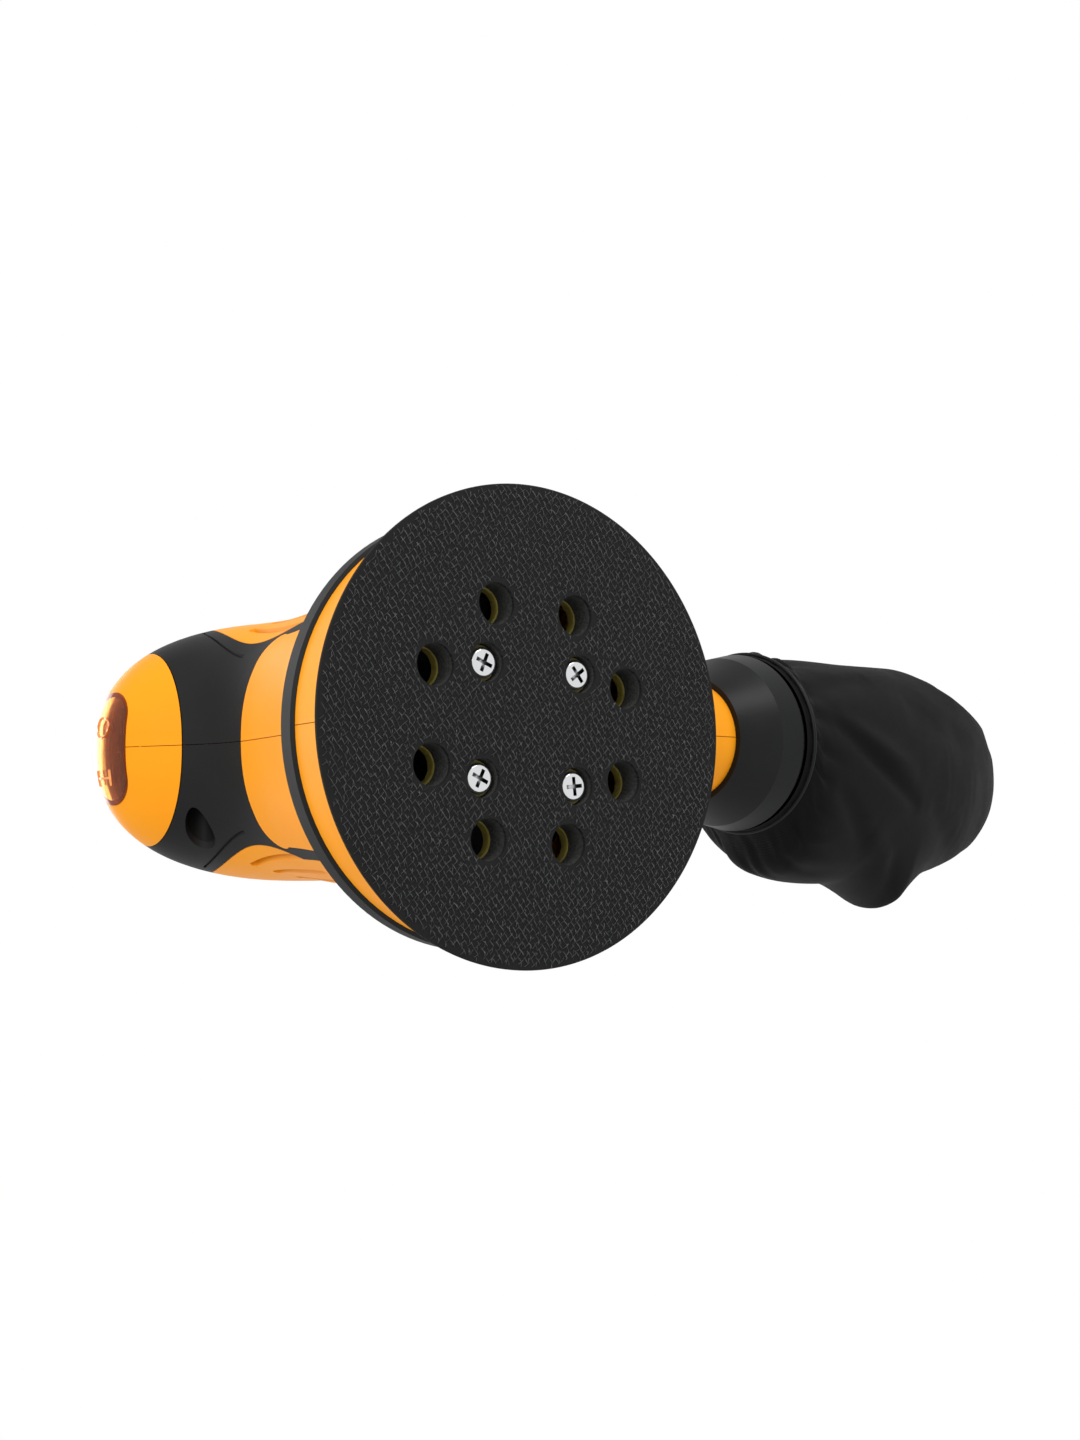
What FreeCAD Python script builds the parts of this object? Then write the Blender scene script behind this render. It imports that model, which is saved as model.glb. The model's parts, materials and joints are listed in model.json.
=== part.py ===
import FreeCAD, Part
import functools
import math
import os
import re
import Sketcher

# Random orbital palm sander, millimetres. +Z up, +X to the front (switch end), -X to the dust bag.
# The origin is on the plane of the sanding pad's face, on the motor's axis. The pad's own centre is
# one orbit_offset ahead of it.

Vector = FreeCAD.Vector

SIZES = [
    # sanding pad
    ("pad_radius", 62.5), ("hook_thick", 1.5), ("foam_thick", 6.5), ("foam_top_radius", 57.0),
    ("plate_radius", 56.0), ("plate_thick", 2.5), ("dust_hole_radius", 5.4), ("dust_hole_circle", 32.5),
    ("dust_hole_count", 8), ("dust_hole_start", 26.0), ("dust_hole_step", 0.5),
    ("screw_count", 4), ("screw_reach", 6.85), ("screw_start", 48.5), ("screw_well_radius", 5.0),
    ("screw_head_radius", 4.0), ("screw_head_high", 2.4), ("screw_sink", 1.9), ("screw_radius", 2.0),
    ("screw_length", 11.0), ("screw_turn_first", 23.0), ("screw_turn_step", 31.0), ("well_gap", 0.3),
    ("thread_gap", 0.05),
    # pad hub and eccentric
    ("hub_flange_gap", 0.1), ("hub_flange_thick", 3.5), ("hub_floor", 1.5), ("hub_recess_high", 3.0),
    ("hub_wall", 3.0), ("hub_boss_radius", 4.2), ("hub_boss_high", 6.5), ("orbit_offset", 1.25),
    ("clip_thick", 0.9), ("clip_groove", 0.6), ("clip_wide", 1.6), ("journal_neck", 2.1),
    ("neck_inset", 0.3), ("washer_reach", 2.0), ("washer_thick", 0.8), ("journal_screw_radius", 2.5),
    ("journal_head_radius", 4.5), ("journal_head_high", 1.6), ("journal_screw_length", 9.0),
    ("balance_hub_radius", 12.0), ("balance_hub_high", 7.4), ("balance_radius", 24.0),
    ("balance_high", 6.4), ("balance_angle", 180.0),
    # bearings
    ("pad_bearing_bore", 6.0), ("pad_bearing_outer", 14.0), ("pad_bearing_wide", 8.0),
    ("motor_bearing_bore", 4.0), ("motor_bearing_outer", 11.0), ("motor_bearing_wide", 7.0),
    ("ball_share", 0.27), ("ring_share", 0.3), ("ball_gap", 0.05), ("ball_count", 8),
    ("seat_wall", 2.5), ("shaft_hole_gap", 0.5),
    # fan
    ("fan_room", 5.0), ("fan_disc_thick", 1.5), ("fan_hub_high", 6.0), ("fan_blade_count", 10),
    ("fan_blade_thick", 1.4), ("fan_blade_lean", 18.0), ("fan_blade_inset", 0.6),
    ("fan_upper_start", 16.0), ("fan_upper_high", 4.5), ("fan_lower_gap", 2.0), ("fan_lower_high", 6.0),
    # motor
    ("endplate_thick", 2.5), ("fan_top_gap", 2.0), ("stack_level", 60.0), ("stack_high", 26.0),
    ("stator_radius", 29.0), ("stator_yoke", 5.0), ("pole_shoe", 3.0), ("air_gap", 0.8),
    ("armature_radius", 15.8), ("armature_slots", 12), ("slot_wide", 2.4), ("slot_deep", 5.0),
    ("slot_wedge", 0.6), ("end_turn_high", 6.5), ("end_turn_inset", 1.3), ("coil_gap", 0.1),
    ("coil_side_angle", 1.5), ("pole_neck_angle", 27.0), ("pole_shoe_angle", 60.0),
    ("commutator_gap", 2.5), ("commutator_high", 12.0), ("commutator_radius", 9.0), ("riser_radius", 11.0),
    ("riser_high", 1.5), ("commutator_bars", 24), ("bar_gap", 0.4), ("bar_deep", 1.0),
    ("seat_room", 4.0), ("shaft_collar", 1.3), ("shaft_collar_high", 2.0), ("shaft_end", 1.0),
    # brushes
    ("brush_wide", 7.0), ("brush_high", 5.0), ("brush_long", 13.0), ("brush_gap", 0.05),
    ("holder_wall", 1.2), ("holder_fit", 0.1), ("holder_inset", 2.5), ("holder_long", 19.5),
    ("bracket_foot_inset", 4.0), ("bracket_foot_half", 4.0), ("bracket_side", 2.0),
    ("spring_radius", 1.9), ("spring_wire", 0.35), ("spring_turns", 6),
    # shell
    ("shell_wall", 2.5), ("grip_deep", 1.6), ("half_gap", 0.1), ("fit_gap", 0.2), ("reveal", 0.25),
    ("skirt_gap", 1.0), ("skirt_radius", 57.5), ("skirt_wall", 3.5), ("bumper_drop", 1.0),
    ("bumper_high", 6.5), ("bumper_inset", 1.6), ("bumper_proud", 1.0), ("bumper_round", 0.8),
    ("ledge_inset", 0.5), ("ledge_high", 1.0), ("shoulder_lap", 1.5), ("shoulder_inset", 0.6),
    ("room_inset", 0.4), ("room_lap", 1.0), ("rib_thick", 2.0), ("rib_inset", 2.0), ("rib_deep", 20.0),
    ("brake_room", 6.0), ("brake_wall", 1.5), ("brake_gap", 0.5), ("brake_high", 8.5),
    ("brake_flange_thick", 2.0),
    ("screw_boss_radius", 5.4), ("screw_bore_radius", 4.3), ("case_head_radius", 3.6),
    ("case_head_high", 2.6), ("case_screw_radius", 1.7), ("case_hole_gap", 0.1),
    ("case_screw_start", 12.0), ("case_screw_length", 24.0), ("case_hole_spare", 1.0),
    ("brow_screw_place", 46.0), ("brow_screw_level", 105.0), ("nape_screw_place", -44.0),
    ("nape_screw_level", 103.0), ("spine_screw_place", -38.5), ("spine_screw_gap", 0.5),
    ("heel_screw_place", -37.5), ("heel_screw_level", 52.0), ("skirt_screw_inset", 9.5),
    ("louvre_count", 5), ("louvre_first", 30.5), ("louvre_pitch", 6.5), ("louvre_wide", 2.2),
    ("louvre_low", 68.0), ("louvre_long", 35.0), ("louvre_shrink", 3.5),
    # colour zones of the shell
    ("cap_edge", 53.0), ("panel_top", 82.0), ("panel_corner", 40.0), ("panel_corner_drop", 8.0),
    ("line_front", 32.5), ("line_wide", 2.9), ("line_bend", 1.0), ("line_bulge", 1.8),
    ("line_bulge_drop", 2.2), ("band_gap", 2.5), ("apron_apex", 36.0), ("apron_level", 98.0),
    ("apron_high", 33.5), ("apron_rise", 26.0), ("apron_foot_drop", 10.0), ("palm_level", 131.0),
    ("palm_start", 27.0), ("moulding_gap", 3.2), ("moulding_wide", 0.8), ("moulding_deep", 0.7),
    ("moulding_low", 9.0), ("moulding_high", 22.0),
    # switch
    ("switch_tilt", 14.0), ("switch_level", 123.5), ("switch_back", 0.5), ("window_wide", 33.0),
    ("window_high", 16.5), ("window_round", 7.8), ("window_deep", 14.0), ("window_out", 30.0),
    ("cover_bulge", 0.35), ("cover_thick", 1.8), ("cover_lip", 2.2),
    ("switch_wide", 26.0), ("switch_high", 14.0), ("switch_deep", 15.0), ("switch_inset", 10.5),
    ("switch_wall", 1.5), ("switch_floor", 6.0), ("cradle_lap", 3.0), ("cradle_step", 2.0),
    ("rocker_wide", 20.0), ("rocker_high", 9.0), ("rocker_lift", 3.0), ("rocker_deep", 5.0),
    ("rocker_sink", 1.0), ("rocker_waist", 0.45), ("rocker_angle", 8.0), ("terminal_wide", 6.3),
    ("terminal_thick", 0.8), ("terminal_long", 8.0), ("terminal_pitch", 8.0),
    # cord inlet
    ("cord_radius", 3.5), ("cord_level", 125.0), ("inlet_boss_radius", 9.5), ("inlet_face", 62.6),
    ("inlet_inner", 58.0), ("inlet_clear", 0.6), ("bush_radius", 6.0), ("bush_flange", 8.2),
    ("bush_flange_thick", 1.8), ("bush_long", 12.0), ("bush_tip_radius", 5.4), ("clamp_place", 45.0),
    ("clamp_wide", 6.0), ("clamp_half", 12.0), ("clamp_thick", 3.5), ("clamp_post_radius", 3.4),
    ("clamp_post_place", 8.5), ("clamp_post_lap", 0.5), ("clamp_rib_high", 4.5),
    ("clamp_head_share", 0.75),
    # dust port, collar and bag
    ("port_sink", 2.5), ("port_rise", 1.2), ("port_pitch", 10.0), ("port_radius", 17.3),
    ("port_wall", 2.3), ("port_root", 16.0), ("port_duct", 28.0), ("port_length", 44.0),
    ("collar_start", 26.0), ("collar_gap", 0.08), ("collar_lip", 1.7), ("collar_seat_end", 40.0),
    ("cone_end", 38.0), ("cone_radius", 25.6), ("band_end", 46.0), ("band_radius", 27.2),
    ("collar_end", 48.0), ("collar_end_radius", 26.2), ("collar_cavity", 23.6), ("bag_neck", 26.9),
    ("ring_place", 51.0), ("ring_wire", 0.6),
]

# Shell sections from the shoulder up: height, reach to the front, to the rear, to each side, and the
# power of the superellipse.
STATIONS = [
    ("shoulder", 31.0, 50.0, 50.0, 48.5, 2.10),
    ("flank", 40.0, 46.5, 46.5, 45.5, 2.20),
    ("waist", 55.0, 44.5, 44.5, 43.5, 2.25),
    ("middle", 70.0, 44.0, 44.0, 42.5, 2.25),
    ("neck", 85.0, 44.5, 44.0, 41.5, 2.30),
    ("throat", 95.0, 48.0, 46.0, 40.5, 2.30),
    ("chin", 105.0, 55.5, 52.0, 40.0, 2.30),
    ("lip", 115.0, 64.0, 59.0, 40.0, 2.35),
    ("nose", 125.0, 68.0, 62.0, 40.0, 2.40),
    ("brow", 135.0, 65.5, 60.5, 38.0, 2.40),
    ("crown", 143.0, 57.0, 54.0, 33.0, 2.30),
    ("cap", 148.0, 43.0, 43.0, 24.0, 2.20),
    ("peak", 150.5, 25.0, 27.0, 13.0, 2.10),
]

# Dust bag sections along the port axis: distance, half width, sideways droop, half height, power.
BAG_STATIONS = [
    ("mouth", 48.1, 26.9, 0.0, 26.9, 2.0),
    ("gather", 52.0, 27.0, -0.2, 26.9, 2.0),
    ("swell", 62.0, 32.5, -4.5, 27.5, 2.0),
    ("front", 78.0, 37.0, -7.5, 28.5, 2.1),
    ("belly", 98.0, 39.0, -9.0, 28.5, 2.2),
    ("widest", 117.0, 40.5, -10.0, 27.5, 2.2),
    ("back", 138.0, 38.0, -8.5, 25.0, 2.2),
    ("taper", 160.0, 34.5, -7.0, 20.5, 2.2),
    ("tail", 180.0, 28.0, -7.0, 14.0, 2.1),
    ("hem", 192.0, 20.0, -7.0, 8.0, 2.0),
    ("end", 199.0, 9.5, -8.0, 2.5, 2.0),
]

# Case screws: place along X and height. The last one holds the skirt together.
CASE_SCREWS = [
    ("brow_screw_place", "brow_screw_level"),
    ("nape_screw_place", "nape_screw_level"),
    ("spine_screw_place", "stack_level + stack_high + screw_boss_radius + spine_screw_gap"),
    ("heel_screw_place", "heel_screw_level"),
    ("skirt_radius - skirt_screw_inset",
     "shoulder_level - bumper_drop - bumper_high + screw_bore_radius + fit_gap"),
]
SECTION_POINTS = 40
FAR = 200.0
LAP = 0.1
HEAD_ROUND = 0.45
CROSS_REACH = 0.62
CROSS_HALF = 0.13
CROSS_FLOOR = 0.35
END_TURN_ROUND = 0.3
SLOT_ROUND = 0.95
FLANGE_SHARE = 0.7

doc = FreeCAD.newDocument("OrbitalSander")
sheet = doc.addObject("Spreadsheet::Sheet", "Sizes")
nodes = []


def fill_sheet():
    rows = list(SIZES)
    for name, level, front, rear, half, power in STATIONS:
        rows += [(name + "_level", level), (name + "_front", front), (name + "_rear", rear)]
        rows += [(name + "_half", half), (name + "_power", power)]
    for name, place, half, droop, high, power in BAG_STATIONS:
        rows += [("bag_" + name + "_place", place), ("bag_" + name + "_half", half)]
        rows += [("bag_" + name + "_droop", droop), ("bag_" + name + "_high", high)]
        rows += [("bag_" + name + "_power", power)]
    for index, (alias, value) in enumerate(rows, start=1):
        sheet.set("A%d" % index, alias.replace("_", " "))
        sheet.set("B%d" % index, "%g" % value)
        sheet.setAlias("B%d" % index, alias)
    doc.recompute()


def bind(text):
    """An expression on the sheet: every alias is a word with an underscore."""
    return re.sub(r"\b([a-z]+(?:_[a-z]+)+)\b", r"Sizes.\1", str(text))


def number(text):
    """The value of such an expression now."""
    return float(sheet.evalExpression(bind(text)))


# Heights of the pad stack, from the hook face up.
PLATE_LOW = "(hook_thick + foam_thick)"
PLATE_TOP = "(hook_thick + foam_thick + plate_thick)"
HEAD_SEAT = "(screw_sink + screw_head_high)"
BEARING_LOW = "(hook_thick + foam_thick + plate_thick + hub_floor + hub_recess_high)"
BEARING_TOP = "(%s + pad_bearing_wide)" % BEARING_LOW
BALANCE_LOW = "(%s + journal_neck)" % BEARING_TOP
FAN_LOW = "(%s + balance_hub_high)" % BALANCE_LOW
ENDPLATE_LOW = "(%s + fan_hub_high + fan_top_gap)" % FAN_LOW
LOWER_SEAT = "(%s + endplate_thick)" % ENDPLATE_LOW
STACK_TOP = "(stack_level + stack_high)"
COMMUTATOR_LOW = "(%s + end_turn_high + commutator_gap)" % STACK_TOP
BRUSH_LEVEL = "(%s + (commutator_high + riser_high) / 2)" % COMMUTATOR_LOW
UPPER_SEAT = "(%s + commutator_high + seat_room)" % COMMUTATOR_LOW
SHAFT_TOP = "(%s + motor_bearing_wide + shaft_end)" % UPPER_SEAT
SKIRT_LOW = "(%s + skirt_gap)" % PLATE_TOP
BRAKE_LOW = "(%s + brake_gap)" % PLATE_TOP
BUMPER_TOP = "(shoulder_level - bumper_drop)"
BUMPER_LOW = "(%s - bumper_high)" % BUMPER_TOP

# Radii and places that other pieces share.
SCREW_CIRCLE = "(pad_bearing_outer + screw_reach)"
HUB_FLANGE = "(dust_hole_circle - dust_hole_radius - hub_flange_gap)"
SCREW_HOLE = "(screw_radius + thread_gap)"
FAN_RADIUS = "(flank_half - shell_wall - fan_room)"
BUMPER_SEAT = "(skirt_radius - bumper_inset)"
BUMPER_RADIUS = "(skirt_radius + bumper_proud)"
BRAKE_RADIUS = "(skirt_radius - skirt_wall - brake_room)"
CASE_HOLE = "(case_screw_radius + case_hole_gap)"
PORT_PLACE = "(skirt_radius - port_sink)"
PORT_LEVEL = "(%s + port_radius + port_rise)" % SKIRT_LOW
PORT_BORE = "(port_radius - port_wall)"


def plane_of(body, role):
    return [item for item in body.Origin.OriginFeatures if item.Role == role][0]


def new_body(label):
    body = doc.addObject("PartDesign::Body", "Body_" + label)
    body.Label = label
    nodes.append(body)
    return body


def new_sketch(body, name, role):
    sketch = body.newObject("Sketcher::SketchObject", name)
    sketch.AttachmentSupport = (plane_of(body, role), [""])
    sketch.MapMode = "FlatFace"
    return sketch


def fix_point(sketch, geometry, vertex, x, y):
    for kind, text in (("DistanceX", x), ("DistanceY", y)):
        index = sketch.addConstraint(Sketcher.Constraint(kind, -1, 1, geometry, vertex, number(text)))
        sketch.setExpression("Constraints[%d]" % index, bind(text))


def outline(body, name, role, corners):
    """A closed sketch whose corners are pairs of sheet expressions."""
    sketch = new_sketch(body, name, role)
    points = [Vector(number(x), number(y), 0) for x, y in corners]
    count = len(points)
    for k in range(count):
        sketch.addGeometry(Part.LineSegment(points[k], points[(k + 1) % count]), False)
    for k in range(count):
        sketch.addConstraint(Sketcher.Constraint("Coincident", k, 2, (k + 1) % count, 1))
    for k, (x, y) in enumerate(corners):
        fix_point(sketch, k, 1, x, y)
    return sketch


def circle(body, name, role, x, y, radius):
    sketch = new_sketch(body, name, role)
    centre = Vector(number(x), number(y), 0)
    sketch.addGeometry(Part.Circle(centre, Vector(0, 0, 1), number(radius)), False)
    fix_point(sketch, 0, 3, x, y)
    index = sketch.addConstraint(Sketcher.Constraint("Radius", 0, number(radius)))
    sketch.setExpression("Constraints[%d]" % index, bind(radius))
    return sketch


def place(body, x="0", y="0", z="0"):
    for axis, text in (("x", x), ("y", y), ("z", z)):
        body.setExpression(".Placement.Base." + axis, bind(text))


def turned(label, corners, x="0", z="0"):
    """A body of revolution about its own Z axis; corners are (radius, height) pairs."""
    body = new_body(label)
    sketch = outline(body, label + "_profile", "XZ_Plane", corners)
    feature = body.newObject("PartDesign::Revolution", label + "_turn")
    feature.Profile = (sketch, [""])
    feature.ReferenceAxis = (sketch, ["V_Axis"])
    feature.Angle = 360
    place(body, x=x, z=z)
    return body


def ring(label, inner, outer, high, x="0", z="0"):
    corners = [(inner, "0"), (outer, "0"), (outer, high), (inner, high)]
    return turned(label, corners, x, z)


def around(body, name, feature, sketch, count):
    pattern = body.newObject("PartDesign::PolarPattern", name)
    pattern.Originals = [feature]
    pattern.Axis = (sketch, ["N_Axis"])
    pattern.Angle = 360
    pattern.Occurrences = int(number(count))
    pattern.setExpression("Occurrences", bind(count))
    body.Tip = pattern


def drill_circle(body, name, circle_radius, start, radius, count):
    """Through holes on a circle about the body's Z axis."""
    doc.recompute()
    before = body.Shape.Volume
    x = "%s * cos(%s)" % (circle_radius, start)
    y = "%s * sin(%s)" % (circle_radius, start)
    sketch = circle(body, name + "_sketch", "XY_Plane", x, y, radius)
    pocket = body.newObject("PartDesign::Pocket", name)
    pocket.Profile = (sketch, [""])
    pocket.Type = "ThroughAll"
    pocket.Reversed = True
    around(body, name + "_pattern", pocket, sketch, count)
    doc.recompute()
    if body.Shape.Volume >= before:
        raise RuntimeError(name + " cuts nothing")


def add_bosses(body, name, circle_radius, start, radius, low, high, count):
    """Bosses on a circle about the body's Z axis, from low to high."""
    doc.recompute()
    x = "%s * cos(%s)" % (circle_radius, start)
    y = "%s * sin(%s)" % (circle_radius, start)
    sketch = circle(body, name + "_sketch", "XY_Plane", x, y, radius)
    sketch.AttachmentOffset = FreeCAD.Placement(Vector(0, 0, number(low)), FreeCAD.Rotation())
    sketch.setExpression(".AttachmentOffset.Base.z", bind(low))
    pad = body.newObject("PartDesign::Pad", name)
    pad.Profile = (sketch, [""])
    length = "(%s) - (%s)" % (high, low)
    pad.Length = number(length)
    pad.setExpression("Length", bind(length))
    around(body, name + "_pattern", pad, sketch, count)


def solid(label, shape, x=0.0, z=0.0):
    """A sub-part whose shape comes from Part's functions, in place."""
    item = doc.addObject("Part::Feature", "Shape_" + label)
    item.Label = label
    item.Shape = shape
    item.Placement = FreeCAD.Placement(Vector(x, 0, z), FreeCAD.Rotation()).multiply(shape.Placement)
    nodes.append(item)
    return item


def cylinder(radius, low, high, x=0.0, y=0.0):
    return Part.makeCylinder(radius, high - low, Vector(x, y, low))


def block(low, high):
    size = [b - a for a, b in zip(low, high)]
    return Part.makeBox(size[0], size[1], size[2], Vector(*low))


def sector(inner, outer, start, end, low, high):
    """Part of a ring between two angles in degrees."""
    span = end - start
    outside = Part.makeCylinder(outer, high - low, Vector(0, 0, low), Vector(0, 0, 1), span)
    inside = Part.makeCylinder(inner, high - low, Vector(0, 0, low))
    piece = outside.cut(inside)
    piece.rotate(Vector(0, 0, 0), Vector(0, 0, 1), start)
    return piece


def pan_screw(head_radius, head_high, radius, length):
    """A cross-recess screw: head below z = 0, shank up to z = length."""
    head = cylinder(head_radius, -head_high, 0)
    edges = [edge for edge in head.Edges if abs(edge.BoundBox.ZMax + head_high) < LAP and edge.Closed]
    head = head.makeFillet(head_high * HEAD_ROUND, edges)
    screw = head.fuse(cylinder(radius, -LAP, length))
    reach = head_radius * CROSS_REACH
    slot = head_radius * CROSS_HALF
    for turn in (0, 90):
        arm = block((-reach, -slot, -head_high - 1), (reach, slot, -head_high * CROSS_FLOOR))
        arm.rotate(Vector(0, 0, 0), Vector(0, 0, 1), turn)
        screw = screw.cut(arm)
    return screw.removeSplitter()


def bearing(label, bore, outer, wide, x, z):
    """A deep-groove ball bearing as outer ring, inner ring and balls."""
    ball = "((%s - %s) * ball_share)" % (outer, bore)
    wall = "((%s - %s) * ring_share)" % (outer, bore)
    middle = "((%s + %s) / 2)" % (outer, bore)
    rings = [
        (label + "_outer_ring", "%s - %s" % (outer, wall), outer),
        (label + "_inner_ring", bore, "%s + %s" % (bore, wall)),
    ]
    for name, inside, outside in rings:
        body = ring(name, inside, outside, wide, x=x, z=z)
        track = circle(body, name + "_track", "XZ_Plane", middle, "%s / 2" % wide, ball + " + ball_gap")
        groove = body.newObject("PartDesign::Groove", name + "_groove")
        groove.Profile = (track, [""])
        groove.ReferenceAxis = (track, ["V_Axis"])
        groove.Angle = 360
    balls = []
    count = int(number("ball_count"))
    for k in range(count):
        angle = 2 * math.pi * k / count
        centre = Vector(math.cos(angle), math.sin(angle), 0) * number(middle)
        centre.z = number("%s / 2" % wide)
        balls.append(Part.makeSphere(number(ball), centre))
    solid(label + "_balls", Part.makeCompound(balls), x=number(x), z=number(z))


def drill_pad(body, radius):
    drill_circle(body, body.Label + "_dust", "dust_hole_circle", "dust_hole_start", radius,
                 "dust_hole_count")


def drill_wells(body, radius):
    drill_circle(body, body.Label + "_well", SCREW_CIRCLE, "screw_start", radius, "screw_count")


def make_pad():
    """Hook face, foam and plate, all centred on the journal, one orbit_offset from the shaft."""
    hook = turned("hook_face", [("0", "0"), ("pad_radius", "0"), ("pad_radius", "hook_thick"),
                                ("0", "hook_thick")], x="orbit_offset")
    drill_pad(hook, "dust_hole_radius")
    drill_wells(hook, "screw_well_radius")
    foam = turned("foam_pad", [("0", "0"), ("pad_radius", "0"), ("foam_top_radius", "foam_thick"),
                               ("0", "foam_thick")], x="orbit_offset", z="hook_thick")
    drill_pad(foam, "dust_hole_radius")
    drill_wells(foam, "screw_well_radius")
    plate = turned("backing_plate", [("0", "0"), ("plate_radius", "0"), ("plate_radius", "plate_thick"),
                                     ("0", "plate_thick")], x="orbit_offset", z=PLATE_LOW)
    add_bosses(plate, "plate_bosses", SCREW_CIRCLE, "screw_start", "screw_well_radius - well_gap",
               HEAD_SEAT + " - " + PLATE_LOW, "0", "screw_count")
    drill_pad(plate, "dust_hole_radius - dust_hole_step")
    drill_plate_screws(plate)


def drill_plate_screws(plate):
    """The screw holes run right through the bosses, which hang below the plate."""
    x = SCREW_CIRCLE + " * cos(screw_start)"
    y = SCREW_CIRCLE + " * sin(screw_start)"
    sketch = circle(plate, "plate_screw_sketch", "XY_Plane", x, y, SCREW_HOLE)
    pocket = plate.newObject("PartDesign::Pocket", "plate_screw_holes")
    pocket.Profile = (sketch, [""])
    pocket.Type = "ThroughAll"
    pocket.Midplane = True
    around(plate, "plate_screw_pattern", pocket, sketch, "screw_count")


def make_pad_screws():
    screw = pan_screw(number("screw_head_radius"), number("screw_head_high"), number("screw_radius"),
                      number("screw_length"))
    count = int(number("screw_count"))
    screws = []
    for k in range(count):
        angle = math.radians(number("screw_start") + 360.0 * k / count)
        copy = screw.copy()
        turn = number("screw_turn_first") + k * number("screw_turn_step")
        copy.rotate(Vector(0, 0, 0), Vector(0, 0, 1), turn)
        copy.translate(Vector(math.cos(angle), math.sin(angle), 0) * number(SCREW_CIRCLE))
        screws.append(copy)
    solid("pad_screws", Part.makeCompound(screws), x=number("orbit_offset"), z=number(HEAD_SEAT))


def make_hub():
    bore = "pad_bearing_outer"
    wall = "pad_bearing_outer + hub_wall"
    floor = "hub_floor"
    seat = "hub_floor + hub_recess_high"
    clip = "%s + pad_bearing_wide" % seat
    top = "%s + clip_thick + clip_groove" % clip
    corners = [
        ("0", "0"), (HUB_FLANGE, "0"), (HUB_FLANGE, "hub_flange_thick"),
        (wall, "hub_flange_thick"), (wall, top), (bore, top), (bore, clip + " + clip_thick"),
        (bore + " + clip_groove", clip + " + clip_thick"), (bore + " + clip_groove", clip), (bore, clip),
        (bore, seat), (bore + " - clip_wide", seat), (bore + " - clip_wide", floor), ("0", floor),
    ]
    hub = turned("pad_hub", corners, x="orbit_offset", z=PLATE_TOP)
    add_bosses(hub, "hub_bosses", SCREW_CIRCLE, "screw_start", "hub_boss_radius", "0", "hub_boss_high",
               "screw_count")
    drill_circle(hub, "hub_screw_holes", SCREW_CIRCLE, "screw_start", SCREW_HOLE, "screw_count")
    ring("bearing_clip", bore + " - clip_wide", bore + " + clip_groove", "clip_thick", x="orbit_offset",
         z=BEARING_TOP)
    bearing("pad_bearing", "pad_bearing_bore", "pad_bearing_outer", "pad_bearing_wide", "orbit_offset",
            BEARING_LOW)


def make_eccentric():
    """The crank under the shaft: an offset journal, a neck and a round hub for weight and fan."""
    offset = number("orbit_offset")
    low = number(BEARING_LOW)
    neck = number(BEARING_TOP)
    base = number(BALANCE_LOW)
    top = number(FAN_LOW)
    bore = number("pad_bearing_bore")
    journal = cylinder(bore, low, neck + LAP, x=offset)
    wall = (number("pad_bearing_outer") - bore) * number("ring_share")
    collar = cylinder(bore + wall - number("neck_inset"), neck, base + LAP, x=offset)
    hub = cylinder(number("balance_hub_radius"), base, top)
    body = journal.fuse([collar, hub])
    body = body.cut(cylinder(number("motor_bearing_bore"), base, top + 1))
    thread = number("journal_screw_radius + thread_gap")
    body = body.cut(cylinder(thread, low - 1, low + number("journal_screw_length"), x=offset))
    solid("eccentric", body.removeSplitter())
    ring("journal_washer", "journal_screw_radius + thread_gap", "pad_bearing_bore + washer_reach",
         "washer_thick", x="orbit_offset", z=BEARING_LOW + " - washer_thick")
    screw = pan_screw(number("journal_head_radius"), number("journal_head_high"),
                      number("journal_screw_radius"), number("journal_screw_length"))
    solid("journal_screw", screw, x=offset, z=low - number("washer_thick"))
    half = number("balance_angle") / 2
    weight = sector(number("balance_hub_radius"), number("balance_radius"), 180 - half, 180 + half,
                    base, base + number("balance_high"))
    solid("counterweight", weight)


def fan_blades(start, low, top, lean):
    """Flat blades round the fan's disc, each leaning back from the radius."""
    count = int(number("fan_blade_count"))
    half = number("fan_blade_thick") / 2
    length = number(FAN_RADIUS) - start - number("fan_blade_inset")
    blades = []
    for k in range(count):
        blade = block((0, -half, low), (length, half, top))
        blade.rotate(Vector(0, 0, 0), Vector(0, 0, 1), lean)
        blade.translate(Vector(start, 0, 0))
        blade.rotate(Vector(0, 0, 0), Vector(0, 0, 1), 360.0 * k / count)
        blades.append(blade)
    return blades


def make_fan():
    """A double-sided impeller: short blades below draw dust, the upper ones cool the motor."""
    low = number(FAN_LOW)
    disc = low + number("fan_disc_thick")
    lean = number("fan_blade_lean")
    radius = number(FAN_RADIUS)
    top = disc + number("fan_upper_high")
    foot = low - number("fan_lower_high")
    upper = fan_blades(number("fan_upper_start"), disc - LAP, top, lean)
    lower = fan_blades(number("balance_radius + fan_lower_gap"), foot, low + LAP, -lean)
    hub = cylinder(number("balance_hub_radius"), low, low + number("fan_hub_high"))
    fan = cylinder(radius, low, disc).fuse([hub] + upper + lower)
    fan = fan.common(cylinder(radius, foot, top))
    fan = fan.cut(cylinder(number("motor_bearing_bore"), low - 1, top + 1))
    solid("fan", fan.removeSplitter())


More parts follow.
